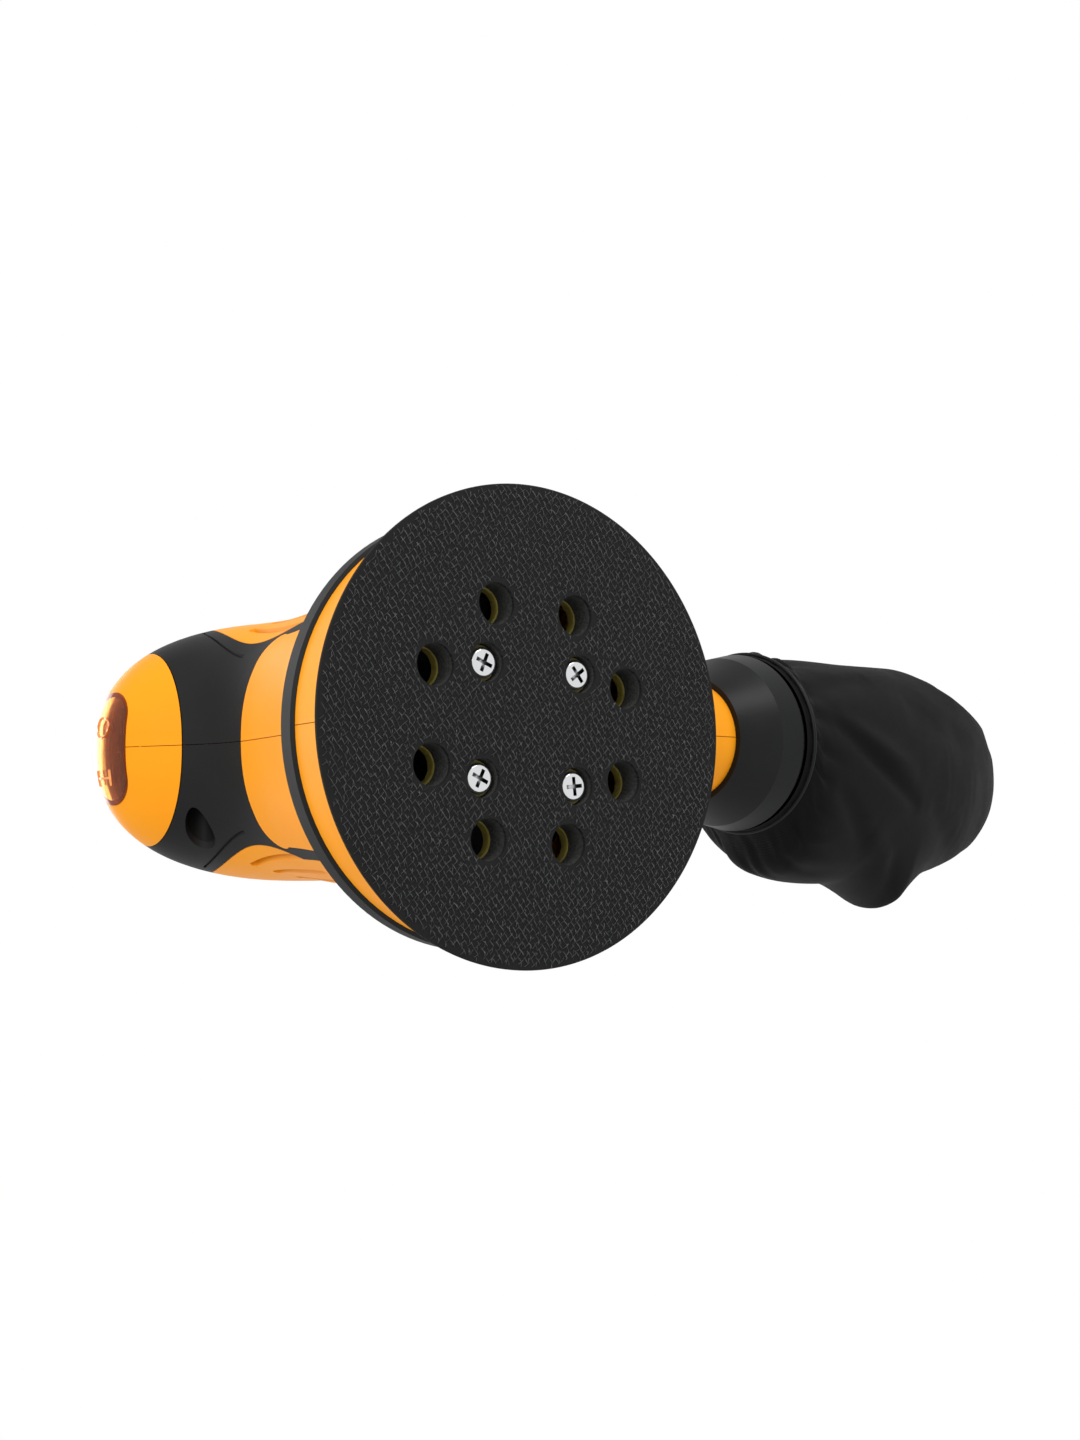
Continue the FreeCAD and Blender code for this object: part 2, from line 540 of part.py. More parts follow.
def make_shaft():
    bore = "motor_bearing_bore"
    wide = bore + " + shaft_collar"
    fan_top = "%s + fan_hub_high - %s" % (FAN_LOW, BALANCE_LOW)
    lower_seat = "%s - %s" % (LOWER_SEAT, BALANCE_LOW)
    upper_seat = "%s - %s" % (UPPER_SEAT, BALANCE_LOW)
    top = "%s - %s" % (SHAFT_TOP, BALANCE_LOW)
    corners = [
        ("0", "0"), (bore, "0"), (bore, fan_top), (wide, fan_top), (wide, lower_seat), (bore, lower_seat),
        (bore, upper_seat + " - shaft_collar_high"), (wide, upper_seat + " - shaft_collar_high"),
        (wide, upper_seat), (bore, upper_seat), (bore, top), ("0", top),
    ]
    turned("motor_shaft", corners, z=BALANCE_LOW)
    for label, level in (("lower_bearing", LOWER_SEAT), ("upper_bearing", UPPER_SEAT)):
        bearing(label, bore, "motor_bearing_outer", "motor_bearing_wide", "0", level)


def cut_slots(body, name, inner, outer, wide, count):
    """Straight slots along Z, open to the outside, round a turned body."""
    sketch = outline(body, name + "_sketch", "XY_Plane", [
        (inner, "-%s / 2" % wide), (outer, "-%s / 2" % wide),
        (outer, "%s / 2" % wide), (inner, "%s / 2" % wide),
    ])
    pocket = body.newObject("PartDesign::Pocket", name)
    pocket.Profile = (sketch, [""])
    pocket.Type = "ThroughAll"
    pocket.Reversed = True
    around(body, name + "_pattern", pocket, sketch, count)


def make_armature():
    core = ring("armature_core", "motor_bearing_bore", "armature_radius", "stack_high", z="stack_level")
    cut_slots(core, "armature_slot", "armature_radius - slot_deep", "armature_radius + 1", "slot_wide",
              "armature_slots")
    high = number("end_turn_high")
    low = number("stack_level")
    top = number(STACK_TOP)
    turns = []
    for foot in (low - high, top):
        turn = cylinder(number("armature_radius - end_turn_inset"), foot, foot + high)
        edges = [edge for edge in turn.Edges if edge.Closed and len(edge.Vertexes) == 1]
        turn = turn.makeFillet(high * END_TURN_ROUND, edges)
        turns.append(turn.cut(cylinder(number("motor_bearing_bore"), foot - 1, foot + high + 1)))
    count = int(number("armature_slots"))
    inner = number("armature_radius - slot_deep")
    outer = number("armature_radius - slot_wedge")
    half = number("slot_wide") / 2
    for k in range(count):
        bar = block((inner, -half, low), (outer, half, top))
        bar.rotate(Vector(0, 0, 0), Vector(0, 0, 1), 360.0 * k / count)
        turns.append(bar)
    solid("armature_windings", turns[0].fuse(turns[1:]).removeSplitter())


def make_commutator():
    root = "commutator_radius - bar_deep"
    bars = ring("commutator", "motor_bearing_bore", "commutator_radius", "commutator_high", z=COMMUTATOR_LOW)
    riser = outline(bars, "riser_sketch", "XZ_Plane", [
        (root, "0"), ("riser_radius", "0"), ("riser_radius", "riser_high"), (root, "riser_high"),
    ])
    lip = bars.newObject("PartDesign::Revolution", "riser")
    lip.Profile = (riser, [""])
    lip.ReferenceAxis = (riser, ["V_Axis"])
    lip.Angle = 360
    cut_slots(bars, "bar_slit", root, "riser_radius + 1", "bar_gap", "commutator_bars")


def make_stator():
    low = number("stack_level")
    top = number(STACK_TOP)
    outer = number("stator_radius")
    yoke = outer - number("stator_yoke")
    bore = number("armature_radius + air_gap")
    shoe = bore + number("pole_shoe")
    neck = number("pole_neck_angle")
    span = number("pole_shoe_angle")
    gap = number("coil_gap")
    inner_coil = shoe + gap
    outer_coil = yoke - gap
    high = number("end_turn_high")
    side = neck + number("coil_side_angle")
    core = cylinder(outer, low, top).cut(cylinder(yoke, low - 1, top + 1))
    coils = []
    for turn in (0, 180):
        core = core.fuse([
            sector(shoe - LAP, yoke + LAP, turn - neck, turn + neck, low, top),
            sector(bore, shoe, turn - span, turn + span, low, top),
        ])
        sides = [
            sector(inner_coil, outer_coil, turn + side, turn + span, low - high, top + high),
            sector(inner_coil, outer_coil, turn - span, turn - side, low - high, top + high),
        ]
        ends = [
            sector(inner_coil, outer_coil, turn - span, turn + span, low - high, low - gap),
            sector(inner_coil, outer_coil, turn - span, turn + span, top + gap, top + high),
        ]
        coils.append(sides[0].fuse([sides[1]] + ends).removeSplitter())
    solid("stator_core", core.removeSplitter())
    solid("field_windings", Part.makeCompound(coils))


def brush_spring(start, end, level):
    """A coil spring along Y between two places."""
    wire = number("spring_wire")
    radius = number("spring_radius")
    length = end - start - 2 * wire
    helix = Part.makeHelix(length / number("spring_turns"), length, radius)
    profile = Part.Wire([Part.makeCircle(wire, Vector(radius, 0, 0), Vector(0, 1, 0))])
    spring = Part.Wire(helix).makePipeShell([profile], True, True)
    spring.rotate(Vector(0, 0, 0), Vector(1, 0, 0), -90)
    spring.translate(Vector(0, start + wire, level))
    return spring


def make_brushes():
    level = number(BRUSH_LEVEL)
    start = number("commutator_radius + brush_gap")
    end = start + number("brush_long")
    wide = number("brush_wide") / 2
    high = number("brush_high") / 2
    fit = number("holder_fit")
    wall = number("holder_wall")
    tube_start = number("commutator_radius + holder_inset")
    tube_end = tube_start + number("holder_long")
    brush = block((-wide, start, level - high), (wide, end, level + high))
    tube = block((-wide - fit - wall, tube_start, level - high - fit - wall),
                 (wide + fit + wall, tube_end, level + high + fit + wall))
    tube = tube.cut(block((-wide - fit, tube_start - 1, level - high - fit),
                          (wide + fit, tube_end - wall, level + high + fit)))
    spring = brush_spring(end, tube_end - wall, level)
    for name, shape in (("carbon_brush_", brush), ("brush_holder_", tube), ("brush_spring_", spring)):
        solid(name + "left", shape)
        other = shape.copy()
        other.rotate(Vector(0, 0, 0), Vector(0, 0, 1), 180)
        solid(name + "right", other)


def closed_curve(points):
    curve = Part.BSplineCurve()
    curve.interpolate(points, PeriodicFlag=True)
    return Part.Wire([curve.toShape()])


def signed_power(value, power):
    return math.copysign(abs(value) ** power, value)


@functools.lru_cache(maxsize=None)
def skin(offset):
    """The head and motor housing as one smooth solid, shrunk by offset."""
    nose = number("nose_level")
    peak = number("peak_level")
    wires = []
    for row in STATIONS:
        name = row[0]
        level = number(name + "_level")
        front = number(name + "_front") - offset
        rear = number(name + "_rear") - offset
        half = number(name + "_half") - offset
        power = number(name + "_power")
        drop = offset * max(0.0, (level - nose) / (peak - nose))
        points = []
        for k in range(SECTION_POINTS):
            angle = 2 * math.pi * (k + 0.5) / SECTION_POINTS
            reach = front if math.cos(angle) > 0 else rear
            x = reach * signed_power(math.cos(angle), 2 / power)
            y = half * signed_power(math.sin(angle), 2 / power)
            points.append(Vector(x, y, level - drop))
        wires.append(closed_curve(points))
    return Part.makeLoft(wires, True, False)


def cone(radius_low, radius_high, low, high):
    return Part.makeCone(radius_low, radius_high, high - low, Vector(0, 0, low))


def bell():
    """The orange skirt, the seat of the rubber bumper and the ledge above it."""
    seat = number(BUMPER_LOW)
    ledge = number(BUMPER_TOP)
    top = ledge + number("ledge_high")
    ledge_radius = number("skirt_radius - ledge_inset")
    shoulder = number("shoulder_level + shoulder_lap")
    return cylinder(number("skirt_radius"), number(SKIRT_LOW), seat).fuse([
        cylinder(number(BUMPER_SEAT), seat - LAP, ledge + LAP),
        cylinder(ledge_radius, ledge, top),
        cone(ledge_radius, number("shoulder_front - shoulder_inset"), top, shoulder),
    ])


def port_axis():
    """Where the dust port's axis leaves the skirt, and its direction."""
    pitch = math.radians(number("port_pitch"))
    direction = Vector(-math.cos(pitch), 0, math.sin(pitch))
    return Vector(-number(PORT_PLACE), 0, number(PORT_LEVEL)), direction


def port_cylinder(radius, start, end):
    """A cylinder on the port's axis, measured from the skirt's edge."""
    base, direction = port_axis()
    return Part.makeCylinder(radius, end - start, base + direction * start, direction)


def cavity(core):
    """The room inside the shell: the motor's space, the fan chamber and the skirt."""
    wide = number("skirt_radius - skirt_wall")
    ledge = number(BUMPER_TOP)
    shoulder = number("shoulder_level + room_lap")
    narrow = number("shoulder_half - shell_wall - room_inset")
    return core.fuse([cylinder(wide, -FAR, ledge), cone(wide, narrow, ledge - LAP, shoulder)])


def side_prism(edges, shrink=0.0):
    """A prism along Y over a closed outline in the XZ plane, drawn in by shrink."""
    wire = Part.Wire(Part.__sortEdges__(edges))
    if shrink:
        wire = wire.makeOffset2D(-shrink)
    face = Part.Face(wire)
    face.translate(Vector(0, -FAR / 2, 0))
    return face.extrude(Vector(0, FAR, 0))


def apron_arc(shift):
    """The front edge of the side panels, bowed forward at its apex, with its lower and upper ends."""
    level = number("apron_level")
    apex = Vector(number("apron_apex") + shift, 0, level)
    top = Vector(number("apron_high") + shift, 0, level + number("apron_rise"))
    foot = Vector(number("line_front - line_wide") + shift, 0, number("panel_top - apron_foot_drop"))
    return Part.Arc(foot, apex, top).toShape(), foot, top


def side_points(*pairs):
    return [Vector(x, 0, z) for x, z in pairs]


def rubber_zone(shrink):
    """Everything soft: the neck band, the lines beside the front panel and the palm rest."""
    arc, foot, top = apron_arc(0)
    cap = number("cap_edge")
    panel = number("panel_top")
    corner = number("panel_corner")
    line = number("line_front")
    base = number("shoulder_level + band_gap")
    palm = number("palm_level")
    bend_start = Vector(corner, 0, panel)
    bend_middle = Vector(line + number("line_bulge"), 0, panel - number("line_bulge_drop"))
    bend_end = Vector(line + number("line_bend"), 0, panel - number("panel_corner_drop"))
    outer = side_points((number("palm_start"), palm), (-FAR / 2, palm), (-FAR / 2, FAR), (cap, FAR),
                        (cap, panel), (corner, panel))
    edges = [Part.makeLine(a, b) for a, b in zip(outer, outer[1:])]
    edges.append(Part.Arc(bend_start, bend_middle, bend_end).toShape())
    lower = [bend_end] + side_points((line, base), (line - number("line_wide"), base)) + [foot]
    edges += [Part.makeLine(a, b) for a, b in zip(lower, lower[1:])]
    edges += [arc, Part.makeLine(top, outer[0])]
    return side_prism(edges, shrink)


def moulding_line():
    """A fine moulded line in the rubber, just ahead of each side panel."""
    gap = number("moulding_gap")
    back, low_back, high_back = apron_arc(gap)
    front, low_front, high_front = apron_arc(gap + number("moulding_wide"))
    ends = [Part.makeLine(low_back, low_front), Part.makeLine(high_back, high_front)]
    strip = side_prism([back, front] + ends)
    low = number("panel_top + moulding_low")
    high = number("apron_level + moulding_high")
    strip = strip.common(block((-FAR, -FAR, low), (FAR, FAR, high)))
    return strip.cut(skin(number("moulding_deep")))


def switch_frame():
    """Turns shapes built with X outward and Z up into the tilted switch window's place."""
    turn = FreeCAD.Rotation(Vector(0, 1, 0), number("switch_tilt"))
    return FreeCAD.Placement(Vector(number("nose_front - switch_back"), 0, number("switch_level")), turn)


def in_switch_frame(shape):
    shape = shape.copy()
    shape.Placement = switch_frame().multiply(shape.Placement)
    return shape


def window_prism(grow, deeper=0.0):
    """The rounded window of the switch, grown all round, as a prism through the nose."""
    wide = number("window_wide") / 2 + grow
    high = number("window_high") / 2 + grow
    low = -number("window_deep") - deeper
    box = block((low, -wide, -high), (number("window_out") + deeper, wide, high))
    edges = [edge for edge in box.Edges if abs(edge.Vertexes[0].X - edge.Vertexes[1].X) > 1]
    return in_switch_frame(box.makeFillet(number("window_round") + grow, edges))


def along_y(radius, x, z, start, end):
    return Part.makeCylinder(radius, end - start, Vector(x, start, z), Vector(0, 1, 0))


def case_screws():
    """Bosses right across the case, the holes through them and the screws, one set for each place."""
    boss = number("screw_boss_radius")
    start = number("case_screw_start")
    spare = number("case_hole_spare")
    tip = number("case_screw_length") - start + spare
    screw = pan_screw(number("case_head_radius"), number("case_head_high"), number("case_screw_radius"),
                      number("case_screw_length"))
    screw.rotate(Vector(0, 0, 0), Vector(1, 0, 0), -90)
    bosses = []
    holes = []
    screws = []
    for place_x, level in CASE_SCREWS:
        x = number(place_x)
        z = number(level)
        bosses.append(along_y(boss, x, z, -FAR / 2, FAR / 2))
        holes.append(along_y(number(CASE_HOLE), x, z, -start - spare, tip))
        holes.append(along_y(number("screw_bore_radius"), x, z, -FAR, -start))
        copy = screw.copy()
        copy.translate(Vector(x, -start, z))
        screws.append(copy)
    return bosses, holes, screws


def louvres():
    """Long upright air slots in both side panels, shorter towards the rear."""
    slots = []
    half = number("louvre_wide") / 2
    shrink = number("louvre_shrink")
    for k in range(int(number("louvre_count"))):
        x = number("louvre_first") - k * number("louvre_pitch")
        low = number("louvre_low") + k * shrink / 2
        top = low + number("louvre_long") - k * shrink
        slot = block((x - half, -FAR / 2, low), (x + half, FAR / 2, top))
        edges = [edge for edge in slot.Edges if abs(edge.Vertexes[0].Y - edge.Vertexes[1].Y) > 1]
        slots.append(slot.makeFillet(half * SLOT_ROUND, edges))
    return slots


def stator_ribs():
    radius = number("stator_radius")
    thick = number("rib_thick")
    inset = number("rib_inset")
    ribs = []
    for low in (number("stack_level") + inset, number(STACK_TOP) - inset - thick):
        rib = cylinder(radius + number("rib_deep"), low, low + thick)
        ribs.append(rib.cut(cylinder(radius, low - 1, low + thick + 1)))
    return ribs


def cord_rib_and_posts():
    place_x = number("clamp_place")
    wide = number("clamp_wide") / 2
    seat = number("cord_level - cord_radius")
    top = number("cord_level + cord_radius")
    foot = seat - number("clamp_rib_high")
    pieces = [block((-place_x - wide, -FAR / 2, foot), (-place_x + wide, FAR / 2, seat))]
    for side in (-1, 1):
        pieces.append(cylinder(number("clamp_post_radius"), seat - number("clamp_post_lap"), top, x=-place_x,
                               y=side * number("clamp_post_place")))
    return pieces


def switch_cradle():
    """Two ledges beside the switch body, out to the side walls."""
    half = number("switch_wide") / 2
    high = number("switch_high") / 2 - number("cradle_step")
    back = -number("switch_inset") - number("switch_deep") + number("cradle_lap")
    front = -number("switch_inset") - number("cradle_lap")
    left = block((back, half, -high), (front, FAR / 2, high))
    right = block((back, -FAR / 2, -high), (front, -half, high))
    return [in_switch_frame(left), in_switch_frame(right)]


def inner_works(bosses):
    """Ribs, screw bosses, the switch cradle and the cord rib, all joined to the wall."""
    middle_of_wall = skin(number("shell_wall") / 2)
    upper = Part.makeCompound(stator_ribs() + cord_rib_and_posts() + switch_cradle() + bosses[:-1])
    radius = number("skirt_radius - skirt_wall / 2")
    skirt_boss = bosses[-1].common(cylinder(radius, number(BUMPER_LOW) - LAP, number(BUMPER_TOP)))
    return upper.common(middle_of_wall).Solids + [skirt_boss]


def inlet_cylinder(radius, start, end):
    """A cylinder along X at the cord's height, between two distances behind the axis."""
    return Part.makeCylinder(radius, end - start, Vector(-end, 0, number("cord_level")), Vector(1, 0, 0))


def soft_volume(shrink):
    """The volume that the rubber fills, drawn in by shrink at its borders."""
    soft = rubber_zone(shrink).cut([
        skin(number("grip_deep")),
        block((-FAR, -FAR, 0), (FAR, FAR, number("shoulder_level + room_lap"))),
        inlet_cylinder(number("inlet_boss_radius + inlet_clear") + shrink, 0, FAR / 2),
    ])
    return soft


def make_shell():
    """Two orange halves with their rubber, split at Y = 0, and the screws that join them."""
    outer = skin(0.0)
    face = number("inlet_face")
    bosses, holes, screws = case_screws()
    window = window_prism(number("fit_gap") / 2)
    port = port_cylinder(number("port_radius"), -number("port_root"), number("port_length"))
    duct = port_cylinder(number(PORT_BORE), -number("port_duct"), number("port_length") + 1)
    inlet = inlet_cylinder(number("inlet_boss_radius"), number("inlet_inner"), face)
    shell = outer.fuse([bell(), port, inlet])
    shell = shell.cut(cavity(skin(number("shell_wall")))).fuse(inner_works(bosses))
    bush = inlet_cylinder(number("bush_radius + case_hole_gap"), number("clamp_place + clamp_wide"), face + 1)
    shell = shell.cut([duct, soft_volume(0.0), bush, window] + holes + louvres())
    grip = outer.common(soft_volume(number("reveal"))).cut([moulding_line(), window] + holes)
    gap = number("half_gap")
    left = block((-FAR, gap, -FAR), (FAR, FAR, FAR))
    right = block((-FAR, -FAR, -FAR), (FAR, -gap, FAR))
    for side, half in (("left", left), ("right", right)):
        solid(side + "_housing", shell.common(half))
        solid(side + "_grip", grip.common(half))
    solid("housing_screws", Part.makeCompound(screws))


def bearing_seat(plate, base):
    """A plate with a bearing's seat on it and the shaft's hole through it."""
    outer = number("motor_bearing_outer")
    hole = number("motor_bearing_bore + shaft_collar + shaft_hole_gap")
    high = number("motor_bearing_wide")
    below = number("endplate_thick") + 1
    plate = plate.fuse(cylinder(outer + number("seat_wall"), base - LAP, base + high))
    plate = plate.cut([cylinder(hole, base - below, base + 1), cylinder(outer, base, base + high + 1)])
    return plate.removeSplitter()


def make_seats():
    """The end plate and the upper bracket carry the motor's bearings and fit inside the shell."""
    inside = skin(number("shell_wall + fit_gap"))
    base = number(LOWER_SEAT)
    plate = inside.common(block((-FAR, -FAR, number(ENDPLATE_LOW)), (FAR, FAR, base)))
    solid("motor_endplate", bearing_seat(plate, base))
    base = number(UPPER_SEAT)
    low = base - number("endplate_thick")
    reach = number("motor_bearing_outer + seat_wall + bracket_side")
    bracket = inside.common(block((-reach, -FAR, low), (reach, FAR, base)))
    foot = number(BRUSH_LEVEL + " + brush_high / 2 + holder_fit + holder_wall")
    half = number("bracket_foot_half")
    start = number("commutator_radius + holder_inset + bracket_foot_inset")
    end = start + number("holder_long - 2 * bracket_foot_inset")
    bracket = bracket.fuse([
        block((-half, start, foot), (half, end, low + LAP)),
        block((-half, -end, foot), (half, -start, low + LAP)),
    ])
    solid("upper_bracket", bearing_seat(bracket, base))


def make_bumper_and_brake():
    seat = number(BUMPER_SEAT)
    outer = number(BUMPER_RADIUS)
    low = number(BUMPER_LOW)
    top = number(BUMPER_TOP)
    soft = number("bumper_round")
    profile = [(seat, low), (outer - soft, low), (outer, low + soft), (outer, top - soft),
               (outer - soft, top), (seat, top), (seat, low)]
    face = Part.Face(Part.makePolygon([Vector(x, 0, z) for x, z in profile]))
    bumper = face.revolve(Vector(0, 0, 0), Vector(0, 0, 1), 360)
    port = port_cylinder(number("port_radius + fit_gap"), -number("port_root"), FAR)
    solid("bumper_ring", bumper.cut(port))
    wall = "skirt_radius - skirt_wall - fit_gap"
    inner = BRAKE_RADIUS + " - brake_wall"
    corners = [
        (inner, "0"), (BRAKE_RADIUS, "0"), (BRAKE_RADIUS, "brake_high - brake_flange_thick"),
        (wall, "brake_high - brake_flange_thick"), (wall, "brake_high"), (inner, "brake_high"),
    ]
    turned("pad_brake", corners, z=BRAKE_LOW)


def make_switch_cover():
    """The soft cover, its neck through the window and its flange behind the wall."""
    bulge = number("cover_bulge")
    thick = number("cover_thick")
    wall = number("shell_wall + fit_gap")
    plug = skin(-bulge).common(window_prism(0))
    flange = skin(wall).common(window_prism(number("cover_lip"), 1))
    hollow = skin(thick - bulge).common(window_prism(-thick, 1))
    inside = skin(wall + thick * FLANGE_SHARE)
    solid("switch_cover", plug.fuse(flange).cut(inside).cut(hollow))


def make_switch():
    """Body, rocker and terminals, all in the tilted window's own frame."""
    half = number("switch_wide") / 2
    high = number("switch_high") / 2
    front = -number("switch_inset")
    back = front - number("switch_deep")
    side = number("switch_wall")
    body = block((back, -half, -high), (front, half, high))
    well = block((back + number("switch_floor"), -half + side, -high + side),
                 (front + 1, half - side, high - side))
    solid("switch_body", in_switch_frame(body.cut(well)))
    blades = []
    for k in (-1, 0, 1):
        y = k * number("terminal_pitch")
        blade = number("terminal_thick") / 2
        tall = number("terminal_wide") / 2
        blades.append(in_switch_frame(block((back - number("terminal_long"), y - blade, -tall),
                                            (back, y + blade, tall))))
    solid("switch_terminals", Part.makeCompound(blades))


def make_rocker():
    """A prism with two faces: the far one is level, the other one is pressed in."""
    half = number("rocker_wide") / 2
    tall = number("rocker_high") / 2
    pivot = -number("switch_inset + rocker_sink")
    front = pivot + number("rocker_lift")
    side = pivot - number("rocker_sink")
    foot = pivot - number("rocker_deep")
    drop = math.tan(math.radians(2 * number("rocker_angle"))) * half
    waist = half * number("rocker_waist")
    points = [(foot, -waist), (side, -half), (front, -half), (front, 0), (front - drop, half),
              (side - drop, half), (foot, waist)]
    corners = [Vector(x, y, -tall) for x, y in points]
    face = Part.Face(Part.makePolygon(corners + [corners[0]]))
    solid("switch_rocker", in_switch_frame(face.extrude(Vector(0, 0, 2 * tall))))


def make_cord_inlet():
    """The cord's bush in the rear wall and the clamp that would hold the cord."""
    inner = "(inlet_face - inlet_inner)"
    corners = [
        ("cord_radius", "0"), ("bush_flange", "0"), ("bush_flange", "bush_flange_thick"),
        ("bush_radius", "bush_flange_thick"), ("bush_radius", "bush_flange_thick + " + inner),
        ("bush_flange", "bush_flange_thick + " + inner), ("bush_flange", "2 * bush_flange_thick + " + inner),
        ("bush_tip_radius", "bush_long + " + inner), ("cord_radius", "bush_long + " + inner),
    ]
    bush = turned("cord_bush", corners)
    bush.Placement.Rotation = FreeCAD.Rotation(Vector(0, 1, 0), -90)
    place(bush, x="-inlet_inner + bush_flange_thick", z="cord_level")
    seat = number("cord_level") + number("cord_radius")
    x = -number("clamp_place")
    wide = number("clamp_wide") / 2
    thick = number("clamp_thick")
    bar = block((x - wide, -number("clamp_half"), seat), (x + wide, number("clamp_half"), seat + thick))
    screws = []
    for side in (-1, 1):
        y = side * number("clamp_post_place")
        bar = bar.cut(cylinder(number("case_screw_radius"), seat - 1, seat + thick + 1, x=x, y=y))
        share = number("clamp_head_share")
        screw = pan_screw(number("case_head_radius") * share, number("case_head_high") * share,
                          number("case_screw_radius"), thick)
        screw.rotate(Vector(0, 0, 0), Vector(1, 0, 0), 180)
        screw.translate(Vector(x, y, seat + thick))
        screws.append(screw)
    solid("cord_clamp", bar)
    solid("clamp_screws", Part.makeCompound(screws))


def port_placement():
    base, direction = port_axis()
    return FreeCAD.Placement(base, FreeCAD.Rotation(Vector(0, 0, 1), direction))


def on_port_axis(label, corners):
    """A turned piece whose own Z axis is the port axis."""
    body = turned(label, corners)
    body.Placement.Rotation = FreeCAD.Rotation(Vector(0, -1, 0), 90 - number("port_pitch"))
    body.setExpression(".Placement.Rotation.Angle", bind("90 - port_pitch"))
    place(body, x="-" + PORT_PLACE, z=PORT_LEVEL)


def make_collar():
    bore = "port_radius + collar_gap"
    corners = [
        (bore, "collar_start"), ("port_radius + collar_lip", "collar_start"), ("cone_radius", "cone_end"),
        ("band_radius", "band_end"), ("collar_end_radius", "collar_end"), ("collar_cavity", "collar_end"),
        ("collar_cavity", "collar_seat_end"), (bore, "collar_seat_end"),
    ]
    on_port_axis("dust_collar", corners)


def make_bag():
    """The hem's elastic ring and the bag's outer shape, both built along Z and laid on the port axis."""
    wire = number("ring_wire")
    elastic = Part.makeTorus(number("bag_neck + fit_gap") + wire, wire, Vector(0, 0, number("ring_place")))
    elastic.Placement = port_placement()
    solid("bag_ring", elastic)
    wires = []
    for row in BAG_STATIONS:
        name = "bag_" + row[0]
        half = number(name + "_half")
        high = number(name + "_high")
        power = number(name + "_power")
        points = []
        for k in range(SECTION_POINTS):
            angle = 2 * math.pi * (k + 0.5) / SECTION_POINTS
            across = half * signed_power(math.sin(angle), 2 / power) + number(name + "_droop")
            up = high * signed_power(math.cos(angle), 2 / power)
            points.append(Vector(up, across, number(name + "_place")))
        wires.append(closed_curve(points))
    bag = Part.makeLoft(wires, True, False)
    bag.Placement = port_placement()
    solid("dust_bag", bag)


def check_and_write():
    doc.recompute()
    for item in doc.Objects:
        if "Invalid" in item.State or "Error" in item.State:
            raise RuntimeError(item.Name + " failed: " + str(item.State))
    for item in nodes:
        if item.Shape.isNull() or not item.Shape.isValid() or item.Shape.Volume <= 0:
            raise RuntimeError(item.Label + " has no valid shape")
    os.makedirs("parts", exist_ok=True)
    for item in nodes:
        item.Shape.exportStep("parts/" + item.Label + ".step")
        print("%-28s solids %2d volume %10.1f mm3" % (item.Label, len(item.Shape.Solids), item.Shape.Volume))


fill_sheet()
make_pad()
make_pad_screws()
make_hub()
make_eccentric()
make_fan()
make_shaft()
make_armature()
make_commutator()
make_stator()
make_brushes()
make_shell()
make_seats()
make_bumper_and_brake()
make_switch_cover()
make_switch()
make_rocker()
make_cord_inlet()
make_collar()
make_bag()
check_and_write()
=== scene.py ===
"""Looks of a random orbital palm sander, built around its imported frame. Metres, +Z up, +X to the front."""
import bpy
import bmesh
import json
import math
import random
from mathutils import Matrix, Vector
from mathutils.bvhtree import BVHTree


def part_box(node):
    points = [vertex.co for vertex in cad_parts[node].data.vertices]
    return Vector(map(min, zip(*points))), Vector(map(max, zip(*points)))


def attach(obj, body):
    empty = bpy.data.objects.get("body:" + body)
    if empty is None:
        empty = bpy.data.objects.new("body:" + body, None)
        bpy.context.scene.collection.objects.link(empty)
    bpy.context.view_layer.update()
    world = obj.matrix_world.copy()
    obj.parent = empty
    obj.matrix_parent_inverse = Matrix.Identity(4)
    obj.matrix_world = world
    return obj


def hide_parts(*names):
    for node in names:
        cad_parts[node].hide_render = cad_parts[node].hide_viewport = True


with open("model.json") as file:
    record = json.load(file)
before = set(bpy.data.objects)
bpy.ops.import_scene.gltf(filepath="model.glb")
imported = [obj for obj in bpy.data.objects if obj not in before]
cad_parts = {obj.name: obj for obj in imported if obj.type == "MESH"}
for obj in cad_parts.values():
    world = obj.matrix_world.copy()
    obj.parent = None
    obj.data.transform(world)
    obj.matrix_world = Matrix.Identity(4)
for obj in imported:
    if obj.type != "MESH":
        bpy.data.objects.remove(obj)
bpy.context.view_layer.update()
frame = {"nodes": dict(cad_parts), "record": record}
random.seed(7)

MM = 0.001
nodes = frame["nodes"]


# ---------------------------------------------------------------- materials

def new_material(name, color, roughness, metallic=0.0, **sockets):
    material = bpy.data.materials.new(name)
    material.use_nodes = True
    shader = material.node_tree.nodes["Principled BSDF"]
    shader.inputs["Base Color"].default_value = (*color, 1)
    shader.inputs["Roughness"].default_value = roughness
    shader.inputs["Metallic"].default_value = metallic
    for key, value in sockets.items():
        shader.inputs[key.replace("_", " ")].default_value = value
    return material


def add(material, kind, **settings):
    node = material.node_tree.nodes.new("ShaderNode" + kind)
    for key, value in settings.items():
        setattr(node, key, value)
    return node


def join(material, start, output, end, socket):
    material.node_tree.links.new(start.outputs[output], end.inputs[socket])


def coordinates(material, stretch=(1, 1, 1), turn=(0, 0, 0), kind="Object"):
    place = add(material, "TexCoord")
    mapping = add(material, "Mapping")
    mapping.inputs["Scale"].default_value = stretch
    mapping.inputs["Rotation"].default_value = turn
    join(material, place, kind, mapping, "Vector")
    return mapping


def noise(material, per_metre, detail=3.0, roughness=0.5, stretch=(1, 1, 1), turn=(0, 0, 0)):
    texture = add(material, "TexNoise")
    texture.inputs["Scale"].default_value = per_metre
    texture.inputs["Detail"].default_value = detail
    texture.inputs["Roughness"].default_value = roughness
    join(material, coordinates(material, stretch, turn), "Vector", texture, "Vector")
    return texture


